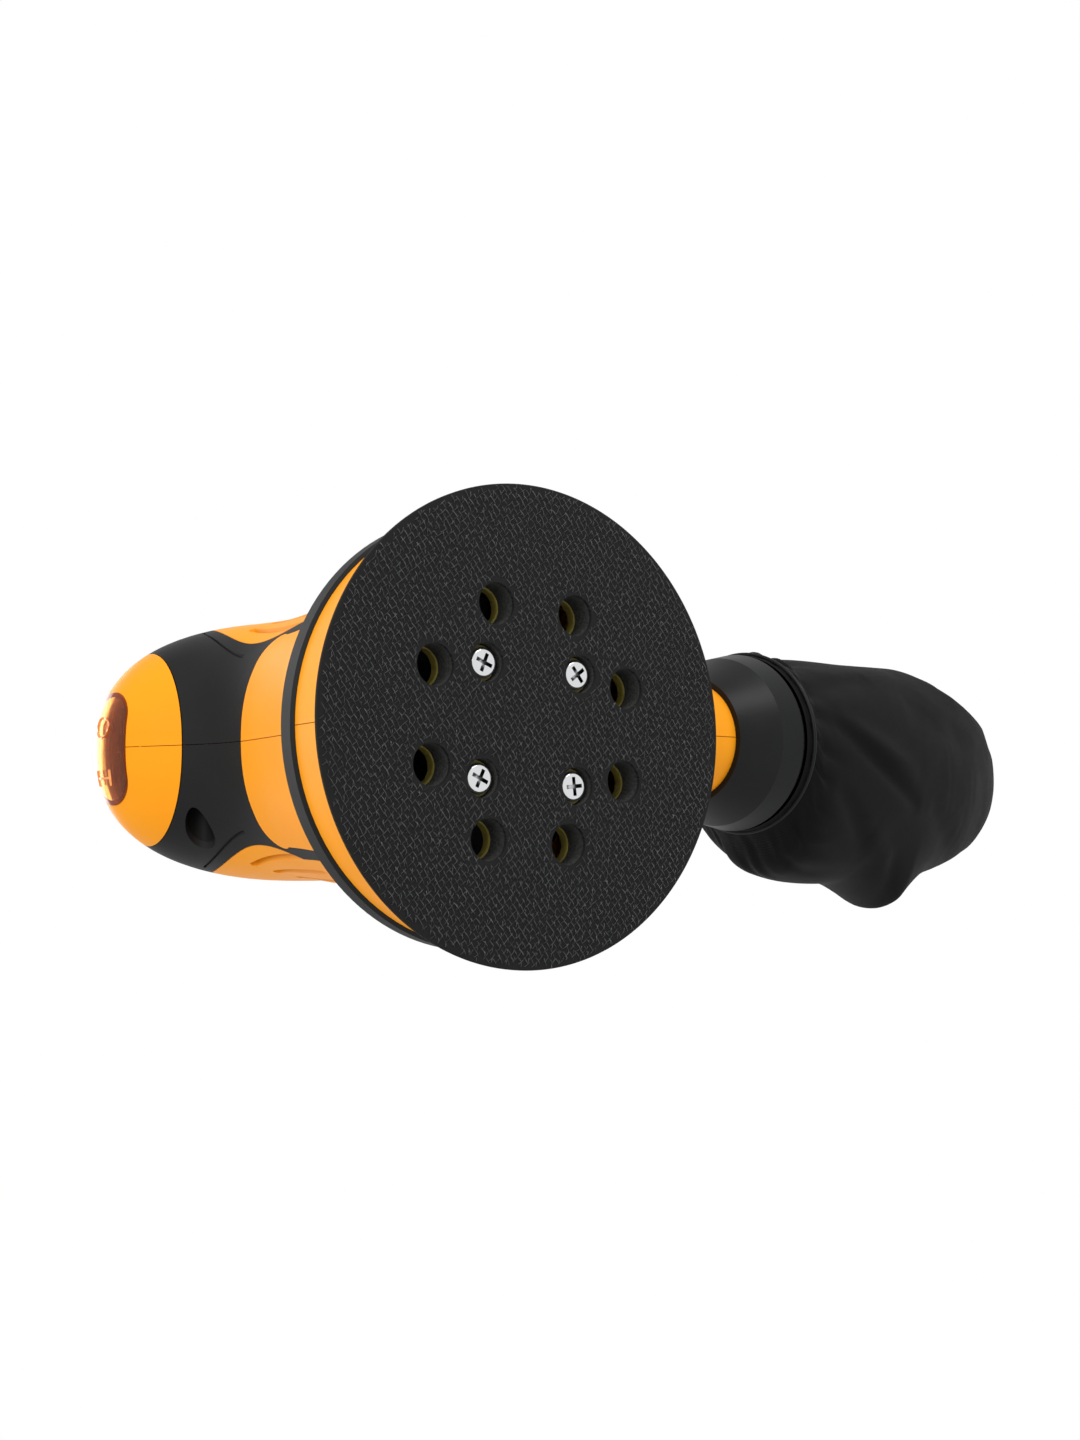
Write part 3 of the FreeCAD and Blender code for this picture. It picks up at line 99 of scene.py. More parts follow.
def cells(material, per_metre, stretch=(1, 1, 1), feature="F1"):
    texture = add(material, "TexVoronoi", feature=feature)
    texture.inputs["Scale"].default_value = per_metre
    join(material, coordinates(material, stretch), "Vector", texture, "Vector")
    return texture


def waves(material, per_metre, turn=(0, 0, 0), distortion=0.0, kind="Object", direction="X"):
    texture = add(material, "TexWave", wave_type="BANDS", bands_direction=direction)
    texture.inputs["Scale"].default_value = per_metre
    texture.inputs["Distortion"].default_value = distortion
    join(material, coordinates(material, turn=turn, kind=kind), "Vector", texture, "Vector")
    return texture


def shader_of(material):
    return material.node_tree.nodes["Principled BSDF"]


def vary_color(material, texture, output, low, high, start=0.3, end=0.7):
    ramp = add(material, "ValToRGB")
    ramp.color_ramp.elements[0].position = start
    ramp.color_ramp.elements[0].color = (*low, 1)
    ramp.color_ramp.elements[1].position = end
    ramp.color_ramp.elements[1].color = (*high, 1)
    join(material, texture, output, ramp, "Fac")
    join(material, ramp, "Color", shader_of(material), "Base Color")
    return ramp


def vary_roughness(material, texture, output, low, high):
    span = add(material, "MapRange")
    span.inputs["To Min"].default_value = low
    span.inputs["To Max"].default_value = high
    join(material, texture, output, span, "Value")
    join(material, span, "Result", shader_of(material), "Roughness")


def add_bump(material, texture, output, distance, strength=1.0, under=None):
    bump = add(material, "Bump")
    bump.inputs["Distance"].default_value = distance
    bump.inputs["Strength"].default_value = strength
    join(material, texture, output, bump, "Height")
    if under is not None:
        join(material, under, "Normal", bump, "Normal")
    join(material, bump, "Normal", shader_of(material), "Normal")
    return bump


def near_line(material, x, z, radius, edge):
    """1 inside a round recess that runs along Y at (x, z), 0 outside, soft over the edge."""
    split = add(material, "SeparateXYZ")
    join(material, coordinates(material), "Vector", split, "Vector")
    flat = add(material, "CombineXYZ")
    join(material, split, "X", flat, "X")
    join(material, split, "Z", flat, "Y")
    away = add(material, "VectorMath", operation="DISTANCE")
    join(material, flat, "Vector", away, 0)
    away.inputs[1].default_value = (x, z, 0)
    mask = add(material, "MapRange")
    mask.inputs["From Min"].default_value = radius
    mask.inputs["From Max"].default_value = radius + edge
    mask.inputs["To Min"].default_value = 1.0
    mask.inputs["To Max"].default_value = 0.0
    join(material, away, "Value", mask, "Value")
    return mask


def moulded_orange():
    """Satin orange moulding; inside the deep screw recess in the rubber neck the colour goes near black,
    partly for the rubber lining and partly as painted shade of the deep bore.
    """
    material = new_material("orange_moulding", (0.95, 0.34, 0.009), 0.45, Specular_IOR_Level=0.1)
    tint = vary_color(material, noise(material, 35, 4), "Fac", (0.93, 0.325, 0.008), (0.98, 0.36, 0.012))
    # Painted shade together with the rubber lining's black: near-black base colour inside a round zone about
    # the neck screw's bore.
    lining_and_shade = add(material, "Mix", data_type="RGBA")
    lining_and_shade.inputs["B"].default_value = (0.006, 0.006, 0.006, 1)
    inside = near_line(material, NECK_SCREW.x, NECK_SCREW.z, 0.0052, 0.0001)
    join(material, inside, "Result", lining_and_shade, "Factor")
    join(material, tint, "Color", lining_and_shade, "A")
    join(material, lining_and_shade, "Result", shader_of(material), "Base Color")
    grain = noise(material, 2600, 2, 0.55)
    vary_roughness(material, noise(material, 90, 4), "Fac", 0.36, 0.5)
    add_bump(material, grain, "Fac", 0.00004, 0.6)
    return material


def moulded_black(name, base, rough_low, rough_high, grain_size, depth):
    material = new_material(name, base, rough_low, Specular_IOR_Level=0.17)
    high = tuple(channel * 1.35 for channel in base)
    vary_color(material, noise(material, 60, 5), "Fac", base, high)
    vary_roughness(material, noise(material, 120, 5), "Fac", rough_low, rough_high)
    add_bump(material, noise(material, grain_size, 3, 0.6), "Fac", depth, 0.7)
    return material


def hook_base():
    material = new_material("hook_ground", (0.012, 0.013, 0.013), 0.85, Specular_IOR_Level=0.2)
    knit = waves(material, 700, turn=(0, 0, math.radians(40)), distortion=1.5)
    vary_color(material, knit, "Fac", (0.005, 0.005, 0.005), (0.015, 0.016, 0.015))
    add_bump(material, knit, "Fac", 0.00015, 0.8)
    return material


def hook_nylon():
    material = new_material("hook_nylon", (0.02, 0.021, 0.021), 0.3, Specular_IOR_Level=0.5)
    vary_color(material, noise(material, 700, 3), "Fac", (0.022, 0.023, 0.023), (0.11, 0.115, 0.112))
    return material


def foam_rubber():
    material = new_material("cell_foam", (0.015, 0.015, 0.015), 0.9)
    pores = cells(material, 1400)
    vary_color(material, pores, "Distance", (0.006, 0.006, 0.006), (0.03, 0.03, 0.029), 0.1, 0.6)
    add_bump(material, pores, "Distance", 0.0003, 0.9)
    return material


def plate_plastic():
    material = new_material("plate_plastic", (0.30, 0.25, 0.05), 0.45, Coat_Weight=0.1)
    vary_color(material, noise(material, 300, 5), "Fac", (0.20, 0.16, 0.03), (0.38, 0.32, 0.07))
    add_bump(material, noise(material, 1800, 3), "Fac", 0.00006, 0.6)
    return material


def metal(name, color, low, high, grain=900, stretch=(1, 1, 1), depth=0.00002):
    material = new_material(name, color, low, 1.0)
    high_color = tuple(min(1.0, channel * 1.12) for channel in color)
    texture = noise(material, grain, 4, 0.6, stretch)
    vary_color(material, texture, "Fac", tuple(channel * 0.9 for channel in color), high_color)
    vary_roughness(material, noise(material, grain * 0.3, 4, 0.6, stretch), "Fac", low, high)
    add_bump(material, texture, "Fac", depth, 0.6)
    return material


def zinc_with_painted_recess_shade():
    """Plated screw heads with painted shade: ambient occlusion turns the base colour near black down in the
    cross recess, bright where they face out.
    """
    material = new_material("zinc_with_painted_recess_shade", (0.8, 0.81, 0.82), 0.2, 1.0)
    # Painted shade: the colour follows ambient occlusion, near black deep in the cross recess and bright on
    # the open faces.
    depth = add(material, "AmbientOcclusion", only_local=True, samples=8)
    depth.inputs["Distance"].default_value = 0.0016
    vary_color(material, depth, "AO", (0.03, 0.034, 0.036), (0.86, 0.87, 0.88), 0.35, 0.8)
    vary_roughness(material, noise(material, 300, 3), "Fac", 0.12, 0.22)
    add_bump(material, noise(material, 1400, 3), "Fac", 0.00001, 0.4)
    return material


def laminations():
    material = new_material("laminated_steel", (0.2, 0.2, 0.21), 0.4, 1.0)
    sheets = waves(material, 320, direction="Z")
    vary_color(material, sheets, "Fac", (0.09, 0.09, 0.095), (0.26, 0.26, 0.27))
    add_bump(material, sheets, "Fac", 0.0001, 0.8)
    return material


def enamelled_copper():
    material = new_material("copper_turns", (0.6, 0.2, 0.06), 0.25, 0.85, Coat_Weight=0.5)
    turns = waves(material, 420, direction="DIAGONAL", distortion=1.2)
    vary_color(material, turns, "Fac", (0.22, 0.06, 0.015), (0.72, 0.27, 0.09))
    add_bump(material, turns, "Fac", 0.0003, 0.9)
    return material


def amber_rubber():
    """Clear amber skin: see-through face on, deep orange-red where it curves away."""
    material = new_material("amber_cover", (1.0, 0.5, 0.12), 0.06, IOR=1.42, Transmission_Weight=1.0)
    vary_color(material, noise(material, 120, 3), "Fac", (0.98, 0.42, 0.08), (1.0, 0.52, 0.14))
    add_bump(material, noise(material, 130, 2), "Fac", 0.00005, 0.25)
    milky = add(material, "BsdfPrincipled")
    milky.inputs["Base Color"].default_value = (0.72, 0.12, 0.004, 1)
    milky.inputs["Roughness"].default_value = 0.22
    edge = add(material, "LayerWeight")
    edge.inputs["Blend"].default_value = 0.2
    blend = add(material, "MixShader")
    join(material, edge, "Facing", blend, 0)
    join(material, shader_of(material), "BSDF", blend, 1)
    join(material, milky, "BSDF", blend, 2)
    join(material, blend, "Shader", material.node_tree.nodes["Material Output"], "Surface")
    return material


def mark_amber():
    material = new_material("amber_mark", (0.85, 0.24, 0.03), 0.18, Specular_IOR_Level=0.7, Coat_Weight=0.4)
    vary_color(material, noise(material, 400, 3), "Fac", (0.80, 0.20, 0.02), (0.95, 0.36, 0.08))
    return material


def pressed_carbon():
    material = new_material("pressed_carbon", (0.02, 0.02, 0.02), 0.6, 0.3)
    grit = noise(material, 3000, 4)
    vary_color(material, grit, "Fac", (0.012, 0.012, 0.012), (0.05, 0.05, 0.05))
    add_bump(material, grit, "Fac", 0.00004, 0.6)
    return material


def woven_cloth():
    """A plain weave: two sets of threads at right angles on the cloth's own coordinates, in metres."""
    material = new_material("woven_polyester", (0.004, 0.004, 0.005), 0.62, Sheen_Weight=0.01,
                            Sheen_Roughness=0.4, Specular_IOR_Level=0.08)
    warp = waves(material, 900, kind="UV", direction="X")
    weft = waves(material, 900, kind="UV", direction="Y")
    weave = add(material, "Math", operation="MULTIPLY")
    join(material, warp, "Fac", weave, 0)
    join(material, weft, "Fac", weave, 1)
    vary_color(material, weave, "Value", (0.0028, 0.0028, 0.0032), (0.0062, 0.0062, 0.007), 0.0, 1.0)
    vary_roughness(material, noise(material, 60, 4), "Fac", 0.55, 0.7)
    add_bump(material, weave, "Value", 0.00006, 0.7)
    return material


NECK_SCREW = Vector((0.046, 0.0, 0.105))
ORANGE = moulded_orange()
RUBBER = moulded_black("soft_rubber", (0.0085, 0.0088, 0.0088), 0.5, 0.62, 1700, 0.00005)
PLASTIC = moulded_black("black_plastic", (0.0065, 0.007, 0.007), 0.36, 0.46, 1300, 0.00004)
NYLON = moulded_black("glass_nylon", (0.035, 0.035, 0.037), 0.4, 0.55, 900, 0.00005)
HOOK_GROUND = hook_base()
HOOKS = hook_nylon()
FOAM = foam_rubber()
PLATE = plate_plastic()
ZINC = zinc_with_painted_recess_shade()
STEEL = metal("ground_steel", (0.60, 0.61, 0.63), 0.2, 0.34, 1500, (1, 1, 6))
CASTING = metal("zinc_casting", (0.42, 0.41, 0.39), 0.45, 0.65, 700, depth=0.0001)
BRASS = metal("brass_sheet", (0.78, 0.58, 0.25), 0.2, 0.34, 700)
LAMINATION = laminations()
COPPER = enamelled_copper()
AMBER = amber_rubber()
MARK = mark_amber()
CARBON = pressed_carbon()
CLOTH = woven_cloth()

BY_SLOT = {
    "hook": HOOK_GROUND, "foam": FOAM, "plate": PLATE, "zinc": ZINC, "steel": STEEL, "casting": CASTING,
    "orange": ORANGE, "black_rubber": RUBBER, "black_plastic": PLASTIC, "fan_plastic": NYLON,
    "lamination": LAMINATION, "copper": COPPER, "brass": BRASS, "carbon": CARBON, "amber": AMBER,
    "bag": CLOTH,
}


def paint_frame():
    for entry in frame["record"]["subparts"]:
        mesh = nodes[entry["node"]].data
        mesh.materials.clear()
        mesh.materials.append(BY_SLOT[entry["material_slot"]])


# ---------------------------------------------------------------- dust bag

# Distance from the hem, half width, sideways droop and half height of the filled-out bag, millimetres.
BAG_SHAPE = [
    (-3, 27.2, 0.0, 27.2), (0, 27.3, 0.0, 27.3), (1.8, 30.5, -1.8, 28.4), (5, 34.2, -5.2, 29.3),
    (12, 36.6, -7.4, 29.8), (27, 38.0, -8.2, 29.6), (48, 38.2, -8.5, 28.8), (66, 38.3, -8.2, 27.4),
    (84, 38.0, -7.6, 25.0), (100, 36.4, -6.8, 21.6), (111, 34.3, -6.3, 18.8), (122, 30.8, -6.4, 15.4),
    (130, 27.5, -6.5, 12.6), (140, 21.3, -6.4, 8.4), (146, 14.0, -7.0, 5.0), (149, 7.0, -7.6, 2.4),
    (150, 2.5, -7.8, 0.8),
]
BAG_AROUND = 180
BAG_ALONG = 84
BAG_GATHERS = 23
BAG_FRAMES = 26
HEM_ROWS = 3
CLOTH_STEP_AROUND = 1.4
CLOTH_STEP_ALONG = 1.8
DRAPE_REACH = 2.2
BAG_THICK = 0.3


def smooth(value):
    value = min(1.0, max(0.0, value))
    return value * value * (3 - 2 * value)


def between(rows, place, column):
    """A smooth curve through one column of a table against its first column."""
    k = next((i for i in range(len(rows) - 2) if place <= rows[i + 1][0]), len(rows) - 2)
    low, high = rows[k], rows[k + 1]
    before, after = rows[max(k - 1, 0)], rows[min(k + 2, len(rows) - 1)]
    span = high[0] - low[0]
    slope_low = (high[column] - before[column]) / (high[0] - before[0]) * span
    slope_high = (after[column] - low[column]) / (after[0] - low[0]) * span
    t = min(1.0, max(0.0, (place - low[0]) / span))
    start = (2 * t ** 3 - 3 * t ** 2 + 1) * low[column] + (t ** 3 - 2 * t ** 2 + t) * slope_low
    return start + (3 * t ** 2 - 2 * t ** 3) * high[column] + (t ** 3 - t ** 2) * slope_high


def joint_axis(name):
    joint = next(j for j in frame["record"]["behaviour"]["joints"] if j["name"] == name)
    return Vector(joint["axis"]).normalized()


def bag_axes():
    """The hem's middle and the directions away along the port, to the left and up."""
    low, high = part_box("bag_ring")
    away = joint_axis("bag_pull")
    side = Vector((0, 1, 0))
    return (low + high) / 2, away, side, side.cross(away).normalized()


def make_gathers():
    """Uneven puckers where the elastic draws the cloth in: angle, width, depth, length and lean of each."""
    gathers = []
    for k in range(BAG_GATHERS):
        angle = 2 * math.pi * (k + random.uniform(-0.32, 0.32)) / BAG_GATHERS
        width = random.uniform(0.035, 0.065)
        deep = random.uniform(0.9, 2.4)
        length = random.choice((7.0, 9.0, 11.0, 15.0, 22.0))
        gathers.append((angle, width, deep, length, random.uniform(-0.006, 0.006)))
    return gathers


def pucker(gathers, along, angle):
    """How far the cloth is drawn in by the gathers at one spot, millimetres."""
    total = 0.0
    for middle, width, deep, length, lean in gathers:
        offset = (angle - middle - lean * along + math.pi) % (2 * math.pi) - math.pi
        spread = width * (1 + max(along, 0) / 16.0)
        if abs(offset) < 4 * spread:
            fade = math.exp(-(max(along, 0) / length) ** 1.6) * smooth((along + 1.0) / 4.0)
            total += deep * fade * math.exp(-(offset / spread) ** 2)
    return total


def bag_point(along, angle, gathers, centre, away, side, up):
    half = between(BAG_SHAPE, along, 1)
    droop = between(BAG_SHAPE, along, 2)
    high = between(BAG_SHAPE, along, 3)
    drawn = pucker(gathers, along, angle)
    across = (half - drawn) * math.sin(angle) + droop
    lift = (high - drawn) * math.cos(angle)
    return centre + (away * along + side * across + up * lift) * MM


def bag_mesh():
    centre, away, side, up = bag_axes()
    first = BAG_SHAPE[0][0]
    last = BAG_SHAPE[-1][0]
    gathers = make_gathers()
    grid = bmesh.new()
    rows = []
    for i in range(BAG_ALONG):
        along = first + (last - first) * i / (BAG_ALONG - 1)
        rows.append([
            grid.verts.new(bag_point(along, 2 * math.pi * j / BAG_AROUND, gathers, centre, away, side, up))
            for j in range(BAG_AROUND)
        ])
    layer = grid.loops.layers.uv.new("cloth")
    for i in range(BAG_ALONG - 1):
        for j in range(BAG_AROUND):
            k = (j + 1) % BAG_AROUND
            face = grid.faces.new((rows[i][j], rows[i][k], rows[i + 1][k], rows[i + 1][j]))
            face.smooth = True
            for loop, (a, b) in zip(face.loops, ((j, i), (j + 1, i), (j + 1, i + 1), (j, i + 1))):
                loop[layer].uv = (a * CLOTH_STEP_AROUND * MM, b * CLOTH_STEP_ALONG * MM)
    tip = grid.verts.new(centre + (away * (last + 0.3) + side * BAG_SHAPE[-1][2]) * MM)
    for j in range(BAG_AROUND):
        face = grid.faces.new((rows[-1][j], rows[-1][(j + 1) % BAG_AROUND], tip))
        face.smooth = True
        for loop in face.loops:
            loop[layer].uv = (j * CLOTH_STEP_AROUND * MM, BAG_ALONG * CLOTH_STEP_ALONG * MM)
    grid.normal_update()
    mesh = bpy.data.meshes.new("dust_sack")
    grid.to_mesh(mesh)
    grid.free()
    return mesh


def drape_bag(bag):
    """Cloth: more fabric than outline and a little air inside, pinned at the hem."""
    pins = bag.vertex_groups.new(name="hem")
    pins.add([v.index for v in bag.data.vertices if v.index < BAG_AROUND * HEM_ROWS], 1.0, "REPLACE")
    cloth = bag.modifiers.new("drape", "CLOTH")
    settings = cloth.settings
    settings.quality = 6
    settings.mass = 0.12
    settings.tension_stiffness = 12
    settings.compression_stiffness = 12
    settings.shear_stiffness = 4
    settings.bending_stiffness = 0.25
    settings.shrink_min = -0.05
    settings.use_pressure = True
    settings.uniform_pressure_force = 1.2
    settings.vertex_group_mass = "hem"
    settings.effector_weights.gravity = 0.0
    cloth.collision_settings.use_collision = False
    cloth.point_cache.frame_start = 1
    cloth.point_cache.frame_end = BAG_FRAMES
    scene = bpy.context.scene
    for step in range(1, BAG_FRAMES + 1):
        scene.frame_set(step)
    graph = bpy.context.evaluated_depsgraph_get()
    draped = bpy.data.meshes.new_from_object(bag.evaluated_get(graph))
    before = bag.data
    bag.modifiers.remove(cloth)
    bag.data = draped
    scene.frame_set(1)
    reach = DRAPE_REACH * MM
    for old, new in zip(before.vertices, draped.vertices):
        move = new.co - old.co
        if move.length > reach:
            new.co = old.co + move * (reach / move.length)


# Soft folds on the face: start and end as distance from the hem and sideways place, depth and width, mm.
BAG_FOLDS = [
    ((14, 5), (62, -20), 2.2, 2.6), ((16, 8), (60, -10), -1.0, 3.5), ((10, 15), (48, 22), 1.4, 3.0),
    ((12, -14), (40, -36), 1.2, 3.0), ((70, -20), (112, -42), 1.1, 4.0), ((60, 12), (118, -2), 0.9, 6.0),
    ((8, 22), (70, 26), -1.2, 3.5), ((36, -30), (80, -50), -1.6, 4.0), ((52, -34), (72, -50), 1.8, 3.0),
]
# The crease behind which the far corner tucks away: its two ends, the depth, the width and the run-in.
CREASE_START = Vector((70.0, 31.0))
CREASE_END = Vector((146.0, 3.0))
CREASE_DEEP = 4.6
CREASE_WIDE = 2.6
CREASE_RUN = 40.0
# The notch at the end of the crease: sideways place, width, depth, and where along the bag it starts.
NOTCH_PLACE = 6.0
NOTCH_WIDE = 4.0
NOTCH_DEEP = 5.0
NOTCH_START = 128
NOTCH_RUN = 14.0
# The corner where the side seam ends: place along the bag, half length, start and run sideways, height.
CORNER_PLACE = 68
CORNER_HALF = 26.0
CORNER_START = 24
CORNER_RUN = 18.0
CORNER_HIGH = 9.5


def long_fold(along, across, start, end, deep, wide):
    """A soft ridge or valley along a straight line on the bag's face, fading at both ends."""
    run = Vector(end) - Vector(start)
    here = Vector((along, across)) - Vector(start)
    share = here.dot(run) / run.length_squared
    off = (here.x * run.y - here.y * run.x) / run.length
    if share <= 0 or share >= 1:
        return 0.0
    return deep * math.sin(math.pi * share) ** 0.7 * math.exp(-(off / wide) ** 2)


def crease(along, across):
    """How far the cloth beyond the crease is tucked up."""
    run = (CREASE_END - CREASE_START).normalized()
    here = Vector((along, across)) - CREASE_START
    beyond = here.y * run.x - here.x * run.y
    return CREASE_DEEP * smooth(beyond / CREASE_WIDE) * smooth(here.dot(run) / CREASE_RUN)


def notch(along, across):
    fade = smooth((along - NOTCH_START) / NOTCH_RUN)
    return NOTCH_DEEP * math.exp(-((across - NOTCH_PLACE) / NOTCH_WIDE) ** 2) * fade


def corner(along, across):
    """The peak of the seam's corner, on the side away from positive Y."""
    peak = max(0.0, 1 - abs(along - CORNER_PLACE) / CORNER_HALF) ** 1.5
    return CORNER_HIGH * peak * smooth((-across - CORNER_START) / CORNER_RUN)


def fold_bag(bag):
    """The far corner tucks behind a crease, and the side seam's corner stands out as a point."""
    centre, away, side, up = bag_axes()
    for vertex in bag.data.vertices:
        place = (vertex.co - centre) / MM
        along = place.dot(away)
        across = place.dot(side)
        under = smooth(0.6 - place.dot(up) / 10.0)
        folds = sum(long_fold(along, across, *row) for row in BAG_FOLDS)
        raised = up * (crease(along, across) + folds) * under
        vertex.co += (raised - away * notch(along, across) - side * corner(along, across)) * MM


def make_bag():
    bag = bpy.data.objects.new("dust_sack", bag_mesh())
    bpy.context.scene.collection.objects.link(bag)
    drape_bag(bag)
    fold_bag(bag)
    thick = bag.modifiers.new("thick", "SOLIDIFY")
    thick.thickness = BAG_THICK * MM
    thick.offset = -1
    fine = bag.modifiers.new("fine", "SUBSURF")
    fine.levels = 1
    fine.render_levels = 1
    bag.data.materials.append(CLOTH)
    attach(bag, "dust_box")
    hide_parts("dust_bag")


# ---------------------------------------------------------------- sanding pad

ROUND_STEPS = 256
HOLE_STEPS = 48
HOOK_WIRE = 0.085
GROUND_LEVEL = 0.55
# Rows of nylon strands in the hook fabric: direction, distance between rows, step along, length.
HOOK_ROWS = [
    (math.radians(57), 1.55, 2.35, 2.5),
    (math.radians(138), 1.75, 2.6, 2.1),
    (math.radians(97), 2.3, 2.7, 1.2),
]
WELL_RADIUS = 5.0
CLOTH_EDGE = 0.25
CLOTH_EDGE_RISE = 0.2
FOAM_INSET = 0.15
FOAM_BULGE = 0.5
FOAM_STEPS = 12


def pad_middle():
    low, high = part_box("hook_face")
    return Vector(((low.x + high.x) / 2, (low.y + high.y) / 2)) / MM


def pad_holes(middle):
    """Centres and radii of the dust holes and screw wells, found from the frame."""
    mount = next(m for m in frame["record"]["mounts"] if m["name"] == "dust_holes")
    reach = mount["dims"]["pcd_mm"] / 2
    radius = mount["dims"]["hole_r_mm"]
    rim = [v.co.xy / MM - middle for v in nodes["hook_face"].data.vertices]
    far = max((p for p in rim if p.length < reach + radius + 0.3), key=lambda p: p.length)
    start = math.atan2(far.y, far.x)
    holes = []
    for k in range(mount["dims"]["count"]):
        angle = start + 2 * math.pi * k / mount["dims"]["count"]
        holes.append((middle.x + reach * math.cos(angle), middle.y + reach * math.sin(angle), radius))
    for centre in islands(nodes["pad_screws"].data):
        holes.append((centre.x / MM, centre.y / MM, WELL_RADIUS))
    return holes


def islands(mesh):
    """Middle of each separate piece of a mesh."""
    groups = {}
    parent = list(range(len(mesh.vertices)))

    def root(k):
        while parent[k] != k:
            parent[k] = parent[parent[k]]
            k = parent[k]
        return k

    same = {}
    for vertex in mesh.vertices:
        key = tuple(round(c, 6) for c in vertex.co)
        parent[root(vertex.index)] = root(same.setdefault(key, vertex.index))
    for edge in mesh.edges:
        parent[root(edge.vertices[0])] = root(edge.vertices[1])
    for vertex in mesh.vertices:
        groups.setdefault(root(vertex.index), []).append(vertex.co)
    middles = []
    for points in groups.values():
        low = Vector([min(p[k] for p in points) for k in range(3)])
        high = Vector([max(p[k] for p in points) for k in range(3)])
        middles.append((low + high) / 2)
    return sorted(middles, key=lambda p: math.atan2(p.y, p.x))


def lathe(name, profile, middle, steps=ROUND_STEPS):
    """A closed solid of revolution about an upright axis from (radius, height) pairs in millimetres."""
    grid = bmesh.new()
    rings = []
    for radius, height in profile:
        if radius == 0:
            rings.append([grid.verts.new((middle.x * MM, middle.y * MM, height * MM))])
            continue
        turns = [2 * math.pi * k / steps for k in range(steps)]
        rings.append([
            grid.verts.new(((middle.x + radius * math.cos(a)) * MM, (middle.y + radius * math.sin(a)) * MM,
                            height * MM)) for a in turns
        ])
    for low, high in zip(rings, rings[1:] + rings[:1]):
        if len(low) == 1 and len(high) == 1:
            continue
        for k in range(steps):
            j = (k + 1) % steps
            if len(low) == 1:
                grid.faces.new((low[0], high[j], high[k]))
            elif len(high) == 1:
                grid.faces.new((low[k], low[j], high[0]))
            else:
                grid.faces.new((low[k], low[j], high[j], high[k]))
    bmesh.ops.recalc_face_normals(grid, faces=grid.faces)
    mesh = bpy.data.meshes.new(name)
    grid.to_mesh(mesh)
    grid.free()
    return mesh


def drilled(name, profile, middle, holes, low, high):
    """A lathed solid with round holes straight through it."""
    body = bpy.data.objects.new(name, lathe(name, profile, middle))
    bpy.context.scene.collection.objects.link(body)
    grid = bmesh.new()
    for x, y, radius in holes:
        place = Matrix.Translation((x * MM, y * MM, (low + high) / 2 * MM))
        bmesh.ops.create_cone(grid, cap_ends=True, segments=HOLE_STEPS, radius1=radius * MM,
                              radius2=radius * MM, depth=(high - low) * MM, matrix=place)
    drill = bpy.data.meshes.new(name + "_drill")
    grid.to_mesh(drill)
    grid.free()
    tool = bpy.data.objects.new(name + "_drill", drill)
    bpy.context.scene.collection.objects.link(tool)
    cut = body.modifiers.new("holes", "BOOLEAN")
    cut.operation = "DIFFERENCE"
    cut.solver = "EXACT"
    cut.object = tool
    graph = bpy.context.evaluated_depsgraph_get()
    mesh = bpy.data.meshes.new_from_object(body.evaluated_get(graph))
    body.modifiers.clear()
    body.data = mesh
    bpy.data.objects.remove(tool)
    return body


def smooth_shade(piece, degrees=35):
    piece.data.shade_smooth()
    piece.data.set_sharp_from_angle(angle=math.radians(degrees))


def make_pad_layers(holes, middle):
    low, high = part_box("hook_face")
    radius = (high.x - low.x) / 2 / MM
    top = high.z / MM
    foam_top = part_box("foam_pad")[1].z
    shoulder = foam_top / MM
    rim = [v.co for v in nodes["foam_pad"].data.vertices if v.co.z > foam_top - 1e-5]
    narrow = max((co.xy / MM - middle).length for co in rim)
    cloth_profile = [(0, GROUND_LEVEL), (radius - CLOTH_EDGE, GROUND_LEVEL),
                     (radius, GROUND_LEVEL + CLOTH_EDGE_RISE), (radius, top), (0, top)]
    cloth = drilled("hook_cloth", cloth_profile, middle, holes, -2, 4)
    foam_profile = [(0, top), (radius - FOAM_INSET, top)]
    for k in range(1, FOAM_STEPS):
        share = k / FOAM_STEPS
        bulge = math.sin(math.pi * share) * FOAM_BULGE
        wide = radius + (narrow - radius) * share + bulge - FOAM_INSET
        foam_profile.append((wide, top + (shoulder - top) * share))
    foam_profile += [(narrow, shoulder), (0, shoulder)]
    foam = drilled("foam_cushion", foam_profile, middle, holes, -2, 12)
    layers = ((cloth, HOOK_GROUND, "hook_face", "hook"), (foam, FOAM, "foam_pad", "foam"))
    for piece, material, node, slot in layers:
        piece.data.materials.clear()
        piece.data.materials.append(material)
        smooth_shade(piece)
        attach(piece, "pad")
        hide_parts(node)
    return radius


def strand_points(length, tall, turn):
    """The middle line of one strand: up out of the ground cloth, along, and curled back in."""
    points = []
    for share, rise in ((0.0, 0.0), (0.1, 0.62), (0.3, 0.96), (0.62, 1.0), (0.88, 0.72), (1.0, 0.3)):
        points.append((length * (share - 0.5) * math.cos(turn), length * (share - 0.5) * math.sin(turn),
                       -tall * rise))
    return points


